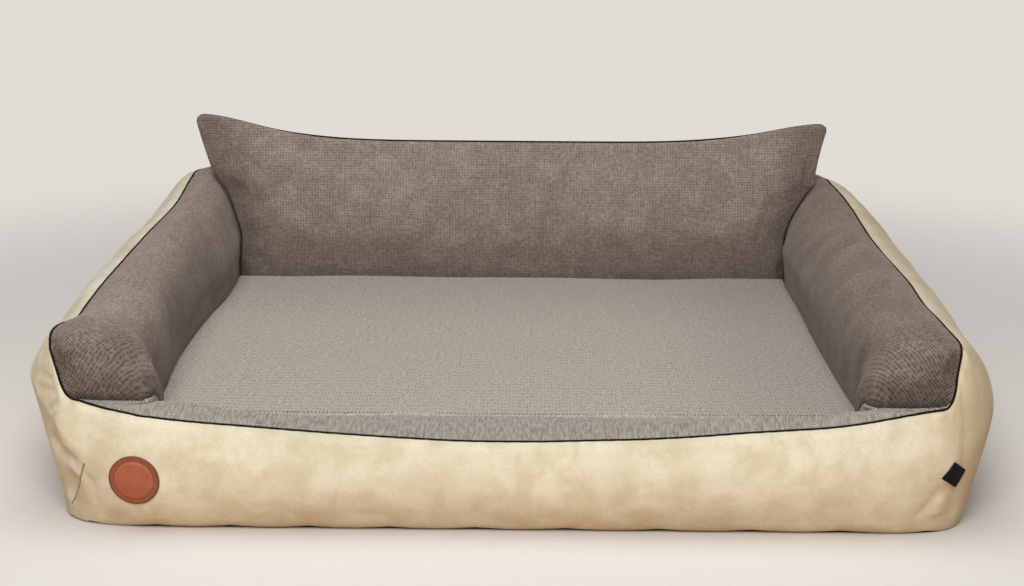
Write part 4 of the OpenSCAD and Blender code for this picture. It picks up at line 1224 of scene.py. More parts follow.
# The folds and puckers of the front corners
DART_VALLEY = [(-0.520, -0.405, 0.098), (-0.507, -0.422, 0.090), (-0.489, -0.440, 0.081),
               (-0.471, -0.447, 0.069)]
DART_FACET = [(-0.482, -0.442, 0.066), (-0.494, -0.428, 0.046), (-0.503, -0.410, 0.022)]
DART_TURN = [(-0.470, -0.447, 0.072), (-0.461, -0.445, 0.052), (-0.460, -0.438, 0.024)]
CORNER_FOLD = [(0.482, -0.447, 0.069), (0.493, -0.437, 0.048), (0.505, -0.418, 0.018)]
CORNER_FOLD_LOW = [(0.482, -0.447, 0.068), (0.473, -0.446, 0.046), (0.449, -0.444, 0.019)]
CORNER_GUSSET = [(0.480, -0.446, 0.050), (0.476, -0.440, 0.018)]
PUCKERS = [
    [(-0.497, -0.432, 0.168), (-0.514, -0.420, 0.172), (-0.532, -0.396, 0.172)],
    [(-0.496, -0.434, 0.158), (-0.513, -0.423, 0.158), (-0.531, -0.402, 0.154)],
    [(-0.490, -0.440, 0.150), (-0.503, -0.432, 0.141), (-0.516, -0.422, 0.130)],
]

# In the order they are pressed in: a line, its depth and width, and the share that fades at each end
PRESSED_IN = [
    (DART_VALLEY, 0.0060, 0.0105, 0.3), (DART_FACET, 0.0052, 0.0105, 0.3), (DART_TURN, 0.0022, 0.0055, 0.3),
    (DART, 0.0014, 0.0018, 0.1), (CORNER_FOLD, 0.0022, 0.0075, 0.25), (CORNER_FOLD_LOW, 0.0017, 0.0070, 0.25),
    (CORNER_GUSSET, -0.0024, 0.0090, 0.3), *((path, 0.0014, 0.0030, 0.3) for path in PUCKERS),
]

# Where the frame's zip lies on the rear wall: half its length, its middle in y and z, how far it
# leans back, half the width of its tapes, and how deep under it the cover stays
ZIP_REACH = 0.335
ZIP_MIDDLE = (0.45197, 0.03152)
ZIP_LEAN = math.radians(8.87)
ZIP_HALF_WIDTH = 0.016
ZIP_BED = 0.0004


def pressed(grid, normals, path, depth, width, ends):
    """A grid pressed in along a line that is laid on it first."""
    path = np.array(path, float)
    for k, spot in enumerate(path):
        i = np.unravel_index(np.linalg.norm(grid - spot, axis=-1).argmin(), grid.shape[:2])
        path[k] = spot - ((spot - grid[i]) @ normals[i]) * normals[i]
    gap, run = line_distance(grid, path)
    fade = smooth(run / ends) * smooth((1 - run) / ends)
    return grid - normals * (depth * hump(gap, width) * fade)[..., None]


def evened(field, rounds):
    """A field on the ring, averaged with its neighbours."""
    for _ in range(rounds):
        field = (field + np.roll(field, 1, axis=0) + np.roll(field, -1, axis=0)) / 3
        wide = np.concatenate([field[:, :1], field, field[:, -1:]], axis=1)
        field = (wide[:, :-2] + wide[:, 1:-1] + wide[:, 2:]) / 3
    return field


def gaps_along(grid):
    """The distance from each column's left to its right neighbour on a ring's grid."""
    return np.linalg.norm(np.roll(grid, -1, axis=0) - np.roll(grid, 1, axis=0), axis=-1)


def relaxed(grid, free, rounds):
    """A ring's grid whose free points (0 to 1) are drawn toward the middle of their neighbours."""
    for _ in range(rounds):
        near = np.roll(grid, 1, axis=0) + np.roll(grid, -1, axis=0)
        near[:, 1:-1] += grid[:, 2:] + grid[:, :-2]
        near[:, [0, -1]] *= 2
        grid = grid + 0.5 * free[..., None] * (near / 4 - grid)
    return grid


def dome_freedom(z, walls, grid, seam_row):
    """How free each point is to be rounded off: the bolsters' front ends, away from their seams."""
    near_end = walls.front & (walls.degrees < FRONT_SEAM) & (walls.along < 0.2)
    along = np.where(near_end, smooth((0.20 - walls.along) / 0.08), 0.0)
    along = along * smooth((FRONT_SEAM - 1 - walls.degrees) / 7)
    row = np.arange(grid.shape[1])[None, :]
    down = smooth((row - seam_row - 2) / 4) * smooth((grid[..., 2] - z.mattress_h - 0.004) / 0.018)
    return along[:, None] * down * (row > seam_row)


_ring = {}


def frame_ring(z):
    """The covers' face, from the outer foot over the piping to the foot in the nest, settled as cloth."""
    if _ring:
        return _ring
    runs = runs_of_stations(z, z.ring_step)
    stations, spans = [], {}
    for name, run in runs.items():
        spans[name] = (len(stations), len(stations) + len(run) - 1)
        stations += run[:-1]
    walls = Walls(z, stations)
    outer_rows, inner_rows = RING_ROWS
    grid = np.concatenate([walls.outer(outer_rows), walls.inner(inner_rows)[:, 1:]], axis=1)
    columns, rows = grid.shape[:2]
    seam_row = outer_rows - 1

    # The bolsters' front ends are stuffed out and then lose their edges
    free = dome_freedom(z, walls, grid, seam_row)
    stuffed = grid + grid_normals(grid, ring=True) * (DOME_STUFFED * free)[..., None]
    grid = relaxed(stuffed, free, DOME_ROUNDS)
    normals = grid_normals(grid, ring=True)

    row = np.arange(rows)
    held = np.zeros((columns, rows))
    held[:, [0, 1, seam_row - 1, seam_row, seam_row + 1]] = 1.0
    held[:, 0] = held[:, -1] = 1.0
    low_inside = (grid[..., 2] < z.mattress_h + 0.02) & (row[None, :] > seam_row)
    held[low_inside] = 1.0
    corner = np.isclose(walls.degrees, FRONT_SEAM) | np.isclose(walls.degrees, REAR_SEAM)
    held[corner, :seam_row] = np.maximum(held[corner, :seam_row], 0.35)
    start = grid - normals * (0.0015 * (held < 0.5))[..., None]
    faces = grid_faces(columns, rows, ring=True) + closing_faces(columns, rows, ring=True)
    shaped = inflate("frame_cloth", start.reshape(-1, 3), faces, held.ravel(), z.fullness, z.cloth_frames)
    moved = shaped.reshape(grid.shape) - grid

    # The moves are kept small, and fade beside the piping, at the foot and where columns run together
    off = (moved * normals).sum(axis=-1)
    along = moved - normals * off[..., None]
    room = np.where(row > seam_row, INNER_ROOM, OUTER_ROOM)[None, :]
    off = room * np.tanh(off / room)
    size = np.linalg.norm(along, axis=-1, keepdims=True)
    along = along * np.minimum(1, SIDEWAYS_ROOM / np.maximum(size, 1e-9))
    off, along = evened(off, 3), evened(along, 3)
    run = run_down(grid)
    fade = smooth(np.abs(run - run[:, seam_row:seam_row + 1]) / 0.028) * smooth(run / 0.03)
    narrow = 1 - smooth((evened(gaps_along(grid), 2) - 0.004) / 0.010)
    grid = grid + (normals * off[..., None] + along) * (fade * (1 - narrow))[..., None]
    narrow = narrow * (row > seam_row + 3) * smooth((grid[..., 2] - z.mattress_h + 0.004) / 0.006)
    grid = relaxed(grid, narrow, NARROW_ROUNDS)

    fine = soften(z, walls, finer(grid, ring=True), 2 * seam_row)
    outside = grid_normals(np.concatenate([fine[-1:], fine, fine[:1]])[:, :2 * seam_row + 1])[1:-1]
    _ring.update(
        spans={name: (2 * a, 2 * b) for name, (a, b) in spans.items()},
        seam_row=2 * seam_row, walls=walls, grid=fine, normals=outside)
    return _ring


def soften(z, walls, grid, seam_row):
    """Billows, seam grooves, puckers and folds on the settled covers."""
    normals = grid_normals(grid, ring=True)
    degrees = np.repeat(walls.degrees, 2)
    degrees[1::2] = (walls.degrees + np.roll(walls.degrees, -1)) / 2
    front = np.repeat(walls.front, 2)
    side = np.repeat(walls.side, 2)
    from_foot = run_down(grid)
    from_seam = np.abs(from_foot - from_foot[:, seam_row:seam_row + 1])
    outside = np.arange(grid.shape[1])[None, :] <= seam_row
    free = smooth(from_seam / 0.030) * smooth(grid[..., 2] / 0.03)
    rear_low = smooth((grid[..., 1] - 0.43) / 0.01) * smooth((0.075 - grid[..., 2]) / 0.02)

    move = 0.0013 * wander(21, grid, 0.18, 2) * free * outside
    nest = (~outside) & (grid[..., 2] > z.mattress_h + 0.01)
    move = move + 0.0016 * wander(34, grid, 0.12, 3) * free * nest

    # Gathers that the piping's seam draws in, short and square to it, more at the corners
    ring_run = run_round(grid[:, seam_row])
    gather = np.sin(ring_run * 2 * math.pi / 0.019 + 2.0 * np.sin(ring_run * 9.0))
    at_corner = np.where(front, hump(degrees - 42, 26.0), 0.35 * hump(degrees - 45, 30.0))
    amount = 0.00035 + 0.0008 * at_corner
    move = move + (gather * amount)[:, None] * smooth(from_seam / 0.004) * np.exp(-from_seam / 0.017)

    # Grooves of the corner seams on the outside
    for where, mask in ((FRONT_SEAM, front), (REAR_SEAM, ~front)):
        reach = np.abs(degrees - where) * math.radians(1) * 0.15
        groove = np.where(mask, hump(reach, 0.0022), 0.0)
        depth = np.where(front & (side < 0), 0.0, 0.0008)
        high = smooth((grid[..., 2] - 0.10) / 0.02) if where == FRONT_SEAM else 1.0
        move = move - (depth * groove)[:, None] * outside * smooth(from_seam / 0.006) * high

    # The crease where a bolster's end rolls over the front wall's strip
    reach = (degrees - FRONT_SEAM)[:, None] * math.radians(1) * 0.12
    over = smooth(from_seam / 0.030) * (~outside) * smooth((grid[..., 2] - z.mattress_h - 0.012) / 0.012)
    fold = 0.0022 * hump(reach + 0.010, 0.006) - 0.0016 * hump(reach, 0.0026)
    move = move + np.where(front[:, None], fold * over, 0.0)

    move = move * smooth((evened(gaps_along(grid), 2) - 0.0012) / 0.0045)

    # The foot's edge is drawn up in scallops
    foot_run = run_round(grid[:, 0])
    scallop = np.abs(np.sin(foot_run * math.pi / 0.092 + 0.8 * np.sin(foot_run * 5)))
    low = np.exp(-from_foot / 0.02) * outside
    move = np.minimum(move, lerp(move, -0.0006, rear_low))
    grid = grid + normals * move[..., None]
    grid[..., 2] += 0.0020 * (1 - scallop)[:, None] * low * (1 - rear_low)
    grid[..., 2] -= (z.base_t - 0.0009) * smooth((0.013 - grid[..., 2]) / 0.011) * outside

    outer = grid[:, :seam_row + 1]
    outer_normals = grid_normals(grid, ring=True)[:, :seam_row + 1]
    for path, depth, width, ends in PRESSED_IN:
        outer = pressed(outer, outer_normals, path, depth, width, ends)
    grid[:, :seam_row + 1] = bed_for_zip(outer)
    return grid


def bed_for_zip(grid):
    """The outer covers pressed flat just under the frame's zip."""
    out = np.array([0, math.cos(ZIP_LEAN), math.sin(ZIP_LEAN)])
    up = np.array([0, -math.sin(ZIP_LEAN), math.cos(ZIP_LEAN)])
    from_zip = grid - np.array([0, *ZIP_MIDDLE])
    proud = from_zip @ out + ZIP_BED
    near = (smooth((ZIP_REACH + 0.02 - np.abs(grid[..., 0])) / 0.02)
            * smooth((ZIP_HALF_WIDTH + 0.012 - np.abs(from_zip @ up)) / 0.012) * (np.abs(proud) < 0.03))
    return grid - out * (np.maximum(proud, 0) * near)[..., None]


def ring_panel(ring, name, outside, what="grid"):
    """The columns and rows of one panel."""
    first, last = ring["spans"][name]
    grid = ring[what]
    columns = np.arange(first, last + 1) % len(grid)
    rows = slice(0, ring["seam_row"] + 1) if outside else slice(ring["seam_row"], None)
    return grid[columns][:, rows]


def cover_panel(name, grid, z, finish_name, normals=None):
    """One sewn panel that stands for its solid, shaded with its neighbours where normals are given."""
    piece = dress(cloth_piece(name + "_cover", grid, z.cover_t), finish_name)
    if normals is not None:
        both = np.concatenate([normals.reshape(-1, 3), -normals.reshape(-1, 3)])
        piece.data.normals_split_custom_set_from_vertices(both.tolist())
    lengths = grid_lengths(grid)
    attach(piece, "frame")
    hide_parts(name)


# Operators, one for each piece or group of like pieces

def ready(context):
    """The sizes, with nothing selected and the scene in object mode."""
    if context.object and context.object.mode != "OBJECT":
        bpy.ops.object.mode_set(mode="OBJECT")
    clear_selection()
    return context.scene.bed_sizes


class BED_OT_stage(Operator):
    """Pale floor, soft lamps and the camera"""

    bl_idname = "bed.stage"
    bl_label = "Stage"

    def execute(self, context):
        ready(context)
        s = context.scene.bed_stage
        bpy.ops.mesh.primitive_plane_add(size=30.0, location=(0, 0, 0))
        floor = context.object
        floor.name = "studio_floor"
        dress(floor, "floor")
        for name, at, size, power, colour in (
                ("key_lamp", (-0.12, -2.85, 2.15), 2.4, s.key_power, (1.0, 0.985, 0.96)),
                ("fill_lamp", (2.4, -2.4, 1.7), 2.2, s.fill_power, (0.97, 0.98, 1.0)),
                ("top_lamp", (-0.2, -0.2, 2.7), 2.6, s.top_power, (1.0, 1.0, 1.0))):
            bpy.ops.object.light_add(type="AREA", location=at)
            lamp = context.object
            lamp.name = name
            lamp.data.shape = "DISK"
            lamp.data.size = size
            lamp.data.energy = power
            lamp.data.color = colour
            aim = Vector((0, 0, 0.12)) - Vector(at)
            lamp.rotation_euler = aim.to_track_quat("-Z", "Y").to_euler()
        world = bpy.data.worlds.new("Studio")
        world.use_nodes = True
        sky = world.node_tree.nodes["Background"]
        sky.inputs["Color"].default_value = (0.96, 0.97, 1.0, 1)
        sky.inputs["Strength"].default_value = s.sky
        nodes = Nodes(world.node_tree)
        seen = nodes.put("ShaderNodeBackground", {"Color": context.scene.bed_colours.backdrop})[0]
        shown = nodes.put("ShaderNodeMixShader", {0: seen_rays(nodes), 1: sky.outputs[0], 2: seen})[0]
        nodes.join(shown, world.node_tree.nodes["World Output"].inputs["Surface"])
        context.scene.world = world
        context.scene.view_settings.view_transform = "Standard"

        bpy.ops.object.camera_add(location=s.camera_at)
        camera = context.object
        camera.name = "camera"
        level = math.cos(s.pitch)
        ahead = Vector((-math.sin(s.yaw) * level, math.cos(s.yaw) * level, -math.sin(s.pitch)))
        right = Vector((math.cos(s.yaw), math.sin(s.yaw), 0))
        up = right.cross(ahead)
        right, up = (right * math.cos(s.roll) + up * math.sin(s.roll),
                     up * math.cos(s.roll) - right * math.sin(s.roll))
        turn = Matrix((right, up, -ahead)).transposed().to_4x4()
        camera.matrix_world = Matrix.Translation(Vector(s.camera_at)) @ turn
        camera.data.sensor_width = 36.0
        camera.data.lens = s.lens
        context.scene.camera = camera
        return {"FINISHED"}


class BED_OT_outer_covers(Operator):
    """Beige outer panels of the four walls"""

    bl_idname = "bed.outer_covers"
    bl_label = "Outer covers"

    def execute(self, context):
        z = ready(context)
        ring = frame_ring(z)
        for name, filling in (("front", "front_wall_foam"), ("right", "right_bolster_filling"),
                              ("rear", "rear_wall_foam"), ("left", "left_bolster_filling")):
            cover_panel(f"{name}_outer_panel", ring_panel(ring, name, True), z, "nubuck",
                        normals=ring_panel(ring, name, True, "normals"))
        return {"FINISHED"}


class BED_OT_inner_covers(Operator):
    """Taupe inner panels of the four walls"""

    bl_idname = "bed.inner_covers"
    bl_label = "Inner covers"

    def execute(self, context):
        z = ready(context)
        ring = frame_ring(z)
        for name, filling, cloth in (
                ("front", "front_wall_foam", "strip cloth"), ("right", "right_bolster_filling", "velour"),
                ("rear", "rear_wall_foam", "velour"), ("left", "left_bolster_filling", "velour")):
            cover_panel(f"{name}_inner_panel", ring_panel(ring, name, False), z,
                        cloth)
        return {"FINISHED"}


class BED_OT_wall_fillings(Operator):
    """Foam bars and fibre inside the walls"""

    bl_idname = "bed.wall_fillings"
    bl_label = "Wall fillings"

    def execute(self, context):
        z = ready(context)
        ring = frame_ring(z)
        grid, seam_row = ring["grid"], ring["seam_row"]
        from_seam = np.abs(np.arange(grid.shape[1]) - seam_row)
        depth = z.cover_t + 0.0045 + 0.008 * hump(from_seam, 5.0)
        way = grid.mean(axis=1, keepdims=True) - grid
        inside = grid + way / np.linalg.norm(way, axis=-1, keepdims=True) * depth[None, :, None]
        inside[..., 2] = np.maximum(inside[..., 2], z.base_t + 0.0015)
        last_row = grid.shape[1] - 1
        kept = np.r_[0:seam_row - 3:3, seam_row - 3, seam_row, seam_row + 3:last_row:3, last_row]
        for name, node, cloth, slot, fill in (
                ("front", "front_wall_foam", "foam", "foam", 1.0),
                ("rear", "rear_wall_foam", "foam", "foam", 1.0),
                ("left", "left_bolster_filling", "fibre", "fibre", 0.75),
                ("right", "right_bolster_filling", "fibre", "fibre", 0.75)):
            first, last = ring["spans"][name]
            short = 24 if name == "front" else 10
            ends = inside[np.r_[first + short:last - short:3, last - short] % len(grid)][:, kept]
            columns, rows = ends.shape[:2]
            faces = grid_faces(columns, rows) + closing_faces(columns, rows)
            faces.append(tuple(range(rows)))
            faces.append(tuple((columns - 1) * rows + j for j in range(rows - 1, -1, -1)))
            piece = turn_outward(dress(mesh_piece(f"{node}_piece", ends.reshape(-1, 3), faces), cloth))
            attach(piece, "frame")
            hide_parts(node)
        return {"FINISHED"}


class BED_OT_rim_piping(Operator):
    """Dark piping round the rim"""

    bl_idname = "bed.rim_piping"
    bl_label = "Rim piping"

    def execute(self, context):
        z = ready(context)
        ring = frame_ring(z)
        path = ring["grid"][:, ring["seam_row"]] + np.array([0, 0, 0.0006])
        walls = ring["walls"]
        ways = np.repeat(walls.ways(walls.angle), 2, axis=0)
        ways[1::2] = (ways[0::2] + np.roll(ways[0::2], -1, axis=0)) / 2
        outward = np.concatenate([ways, np.zeros((len(ways), 1))], axis=1)
        twist = np.sin(run_round(path) * 2 * math.pi / 0.0105)
        wobble = 0.035 * twist + 0.03 * wander(3, path, 0.05, 2)
        cord = cord_piece("rim_piping_cord", path, z.piping_d * PIPING_SHOWN / 2, 14, outward, wobble)
        piece = dress(cord, "piping")
        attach(piece, "frame")
        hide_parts("rim_piping")
        return {"FINISHED"}


class BED_OT_base_cloth(Operator):
    """Non-slip cloth under the frame"""

    bl_idname = "bed.base_cloth"
    bl_label = "Base cloth"

    def execute(self, context):
        z = ready(context)
        ring = frame_ring(z)
        foot = ring["grid"][:, 0] * [1, 1, 0]
        way = np.cross(np.roll(foot, -1, axis=0) - np.roll(foot, 1, axis=0), [0, 0, 1])
        edge = foot - way / np.linalg.norm(way, axis=1, keepdims=True) * FOOT_TUCK
        count = len(edge)
        inner = edge.copy()
        size = np.linalg.norm(edge[:, :2], axis=1, keepdims=True)
        inner[:, :2] -= edge[:, :2] / size * 0.0008
        levels = [inner, edge + [0, 0, 0.0006], edge + [0, 0, z.base_t - 0.0006], inner + [0, 0, z.base_t]]
        points = np.concatenate(levels)
        faces = band_faces(len(levels), count)
        faces += [tuple(range(count - 1, -1, -1)), tuple(3 * count + i for i in range(count))]
        piece = dress(mesh_piece("base_cloth", points, faces, points[:, :2]), "base")
        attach(piece, "frame")
        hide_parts("base_panel")
        return {"FINISHED"}


def wall_tree(ring):
    """The outer covers' face, to lay trims on."""
    points, faces, base = [], [], 0
    for name in ("front", "left", "right"):
        grid = ring_panel(ring, name, True)
        faces += grid_faces(*grid.shape[:2], flip=True, base=base)
        points.append(grid.reshape(-1, 3))
        base += grid.shape[0] * grid.shape[1]
    return BVHTree.FromPolygons(np.concatenate(points).tolist(), faces)


def lay_on(tree, obj, origin, across, up, out, lift):
    """Moves a trim drawn at (across, up, thickness) onto the wall, each point straight back along out."""
    for vertex in obj.data.vertices:
        x, y, t = vertex.co
        start = origin + across * x + up * y + out * 0.08
        hit, normal, _, _ = tree.ray_cast(start, -out)
        if hit is None:
            raise RuntimeError(f"{obj.name} misses the wall")
        normal = normal if normal.dot(out) > 0 else -normal
        soft = (normal * 0.35 + out * 0.65).normalized()
        vertex.co = hit + soft * (t + lift(x, y))
    obj.data.update()


class BED_OT_patch(Operator):
    """Round leather patch on the front wall"""

    bl_idname = "bed.patch"
    bl_label = "Leather patch"

    def execute(self, context):
        z = ready(context)
        ring = frame_ring(z)
        radius = z.patch_d / 2
        bpy.ops.mesh.primitive_cylinder_add(
            vertices=96, radius=radius, depth=z.patch_t, end_fill_type="NGON", location=(0, 0, z.patch_t / 2))
        patch = context.object
        patch.name = "leather_patch_disc"
        make_active(patch)
        bpy.ops.object.transform_apply(location=True, rotation=True, scale=True)
        bpy.ops.object.mode_set(mode="EDIT")
        bpy.ops.mesh.select_all(action="DESELECT")
        bpy.ops.object.mode_set(mode="OBJECT")
        for face in patch.data.polygons:
            face.select = face.normal.z > 0.9
        bpy.ops.object.mode_set(mode="EDIT")
        groove = 0.80 * radius
        pressed_ring = ((radius - groove - 0.0009, 0.0), (0.0006, -0.0005), (0.0006, 0.0), (0.0006, 0.0005))
        for inset, drop in (*pressed_ring, (0.0040, 0.0), (0.0050, 0.0), (0.0050, 0.0), (0.0040, 0.0)):
            bpy.ops.mesh.inset(thickness=inset, depth=0.0)
            if drop:
                bpy.ops.transform.translate(value=(0, 0, drop))
        bpy.ops.object.mode_set(mode="OBJECT")
        bevel = patch.modifiers.new("Worn edge", "BEVEL")
        bevel.width = 0.0007
        bevel.segments = 3
        bevel.limit_method = "ANGLE"
        bevel.angle_limit = math.radians(60)
        apply_modifiers(patch)
        bpy.ops.object.shade_smooth_by_angle(angle=math.radians(50))
        layer = patch.data.uv_layers.new(name="cloth")
        patch.data.uv_layers.active = layer
        for loop in patch.data.loops:
            layer.data[loop.index].uv = patch.data.vertices[loop.vertex_index].co.xy
        for other in [each.name for each in patch.data.uv_layers if each.name != "cloth"]:
            patch.data.uv_layers.remove(patch.data.uv_layers[other])
        middle = Vector((-z.patch_x, -z.bed_d / 2, z.patch_h))
        out = Vector((-0.10, -1.0, 0.0)).normalized()
        lay_on(wall_tree(ring), patch, middle, Vector((0.995, -0.0995, 0)), Vector((0, 0, 1)), out,
               lambda x, y: 0.0002)
        dress(patch, "leather")
        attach(patch, "frame")
        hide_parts("leather_patch")
        return {"FINISHED"}


# Where round the front right corner the tag is sewn in
TAG_DEGREES = 49.0


class BED_OT_tag(Operator):
    """Folded woven tag in the corner seam"""

    bl_idname = "bed.tag"
    bl_label = "Woven tag"

    def execute(self, context):
        z = ready(context)
        ring = frame_ring(z)
        columns, rows = 20, 13
        # The ribbon runs out from the seam, turns over at its free end and comes back
        half = np.linspace(0, 1, columns)
        grid = np.zeros((2 * columns, rows, 3))
        for i in range(2 * columns):
            back = i >= columns
            k = half[2 * columns - 1 - i] if back else half[i]
            x = (k - 0.5) * z.tag_l
            for j in range(rows):
                y = (j / (rows - 1) - 0.5) * z.tag_w
                grid[i, j] = (x, y, 0.00025 if back else 0.0012 + 0.0006 * math.sin(math.pi * k))
        uvs = grid_lengths(grid).reshape(-1, 2)
        tag = mesh_piece("woven_tag_ribbon", grid.reshape(-1, 3), grid_faces(2 * columns, rows), uvs)
        half_width, front, _ = spine(z)
        turn = math.radians(TAG_DEGREES)
        out = Vector((math.cos(turn), -math.sin(turn), 0))
        walls = Walls(z, [(half_width, -front, 1, -1, TAG_DEGREES)])
        at = Vector(walls.place(walls.bulge[:, None], np.array([[z.tag_h]]))[0, 0])
        flat_way = Vector((0, 0, 1)).cross(out)
        tilt = math.radians(-33)
        across = flat_way * math.cos(tilt) + Vector((0, 0, 1)) * math.sin(tilt)
        up = Vector((0, 0, 1)) * math.cos(tilt) - flat_way * math.sin(tilt)
        lay_on(wall_tree(ring), tag, at, across, up, out,
               lambda x, y: 0.0004 + 0.0016 * float(smooth((x / z.tag_l + 0.5 - 0.4) / 0.6)))
        dress(thickened(tag, 0.0004), "tag")
        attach(tag, "frame")
        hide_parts("woven_tag")
        return {"FINISHED"}


# The mattress

REAR_CORNER = 0.006
FACE_SHARES = [1 - 0.02 * i for i in range(1, 49)]

# From one stitch to the next, and half the length, width and height of one
STITCH_PITCH = 0.0046
STITCH_HALF = (0.0013, 0.00045, 0.00035)


def mattress_outline(z, inset, per_corner=14, across_steps=96, side_steps=72):
    """The mattress's outline in plan, counterclockwise, drawn in from the nest."""
    sx, front, _ = spine(z)
    fan = [90.0 * i / per_corner for i in range(per_corner)]
    level = [(lerp(-sx, sx, i / across_steps), -front, 1, -1, 90.0) for i in range(across_steps)]
    along = np.linspace(-front, nook_front(z) - REAR_CORNER, side_steps + 1)
    stations = ([(-sx, -front, -1, -1, d) for d in fan] + level + [(sx, -front, 1, -1, 90 - d) for d in fan]
                + [(sx, y, 1, -1, 0.0) for y in along] + [(-sx, y, -1, -1, 0.0) for y in along[::-1]])
    walls = Walls(z, stations, settled=False)
    line = walls.place((walls.nest - MATTRESS_GAP - inset)[:, None], np.zeros((len(stations), 1)))[:, 0, :2]
    right, left = line[-2 * len(along):-len(along)], line[-len(along):]
    quarter = np.linspace(0, math.pi / 2, per_corner + 1)

    def corner(end, side):
        """A rear corner, turned from the end of a side."""
        turn = REAR_CORNER - inset
        middle = end - np.array([side * turn, 0.0])
        return middle + turn * np.stack([side * np.cos(quarter), np.sin(quarter)], axis=1)

    first, last = corner(right[-1], 1), corner(left[0], -1)[::-1]
    level = first[-1] + (last[0] - first[-1]) * np.linspace(0, 1, across_steps + 1)[1:-1, None]
    return np.concatenate([line[:-2 * len(along)], right[:-1], first, level, last[:-1], left[:-1]])


def mattress_levels(z):
    """Heights of the mattress: its foot, and the top of the rolled edge."""
    low = z.base_t + SEAT_GAP
    return low, low + z.mattress_h - z.mattress_crown


def mattress_rings(z, depth, upper, steps=8, shares=()):
    """Rings of the rolled edge and the face, from the band inward."""
    low, top = mattress_levels(z)
    middle = (nook_front(z) - spine(z)[1]) / 2
    rings = []
    for i in range(steps + 1):
        a = math.pi / 2 * i / steps
        inset = depth + (z.mattress_roll - depth) * (1 - math.cos(a))
        drop = (z.mattress_roll - depth) * math.sin(a)
        h = top - z.mattress_roll + drop if upper else low + z.mattress_roll - drop
        outline = mattress_outline(z, inset)
        rings.append(np.column_stack([outline, np.full(len(outline), h)]))
    face = rings[-1]
    for k in shares:
        ring = face.copy()
        ring[:, 0] = face[:, 0] * k
        ring[:, 1] = middle + (face[:, 1] - middle) * k
        ring[:, 2] = (top - depth + z.mattress_crown * (1 - k * k)) if upper else low + depth
        rings.append(ring)
    return np.stack(rings)


def ring_shell(rings, upper):
    """A closed face from rings that shrink to the middle."""
    levels, count = rings.shape[:2]
    points = np.vstack([rings.reshape(-1, 3), rings[-1].mean(axis=0)])
    last = (levels - 1) * count
    faces = band_faces(levels, count)
    faces += [(last + i, last + (i + 1) % count, len(points) - 1) for i in range(count)]
    return points, faces if upper else [face[::-1] for face in faces]


def swelled(z, points):
    """The mattress's upper face with faint swells."""
    free = smooth((points[:, 2] - (z.mattress_h - 0.012)) / 0.010)
    points = points.copy()
    points[:, 2] += free * 0.0012 * wander(40, points * [1, 1, 0], 0.22, 3)
    return points


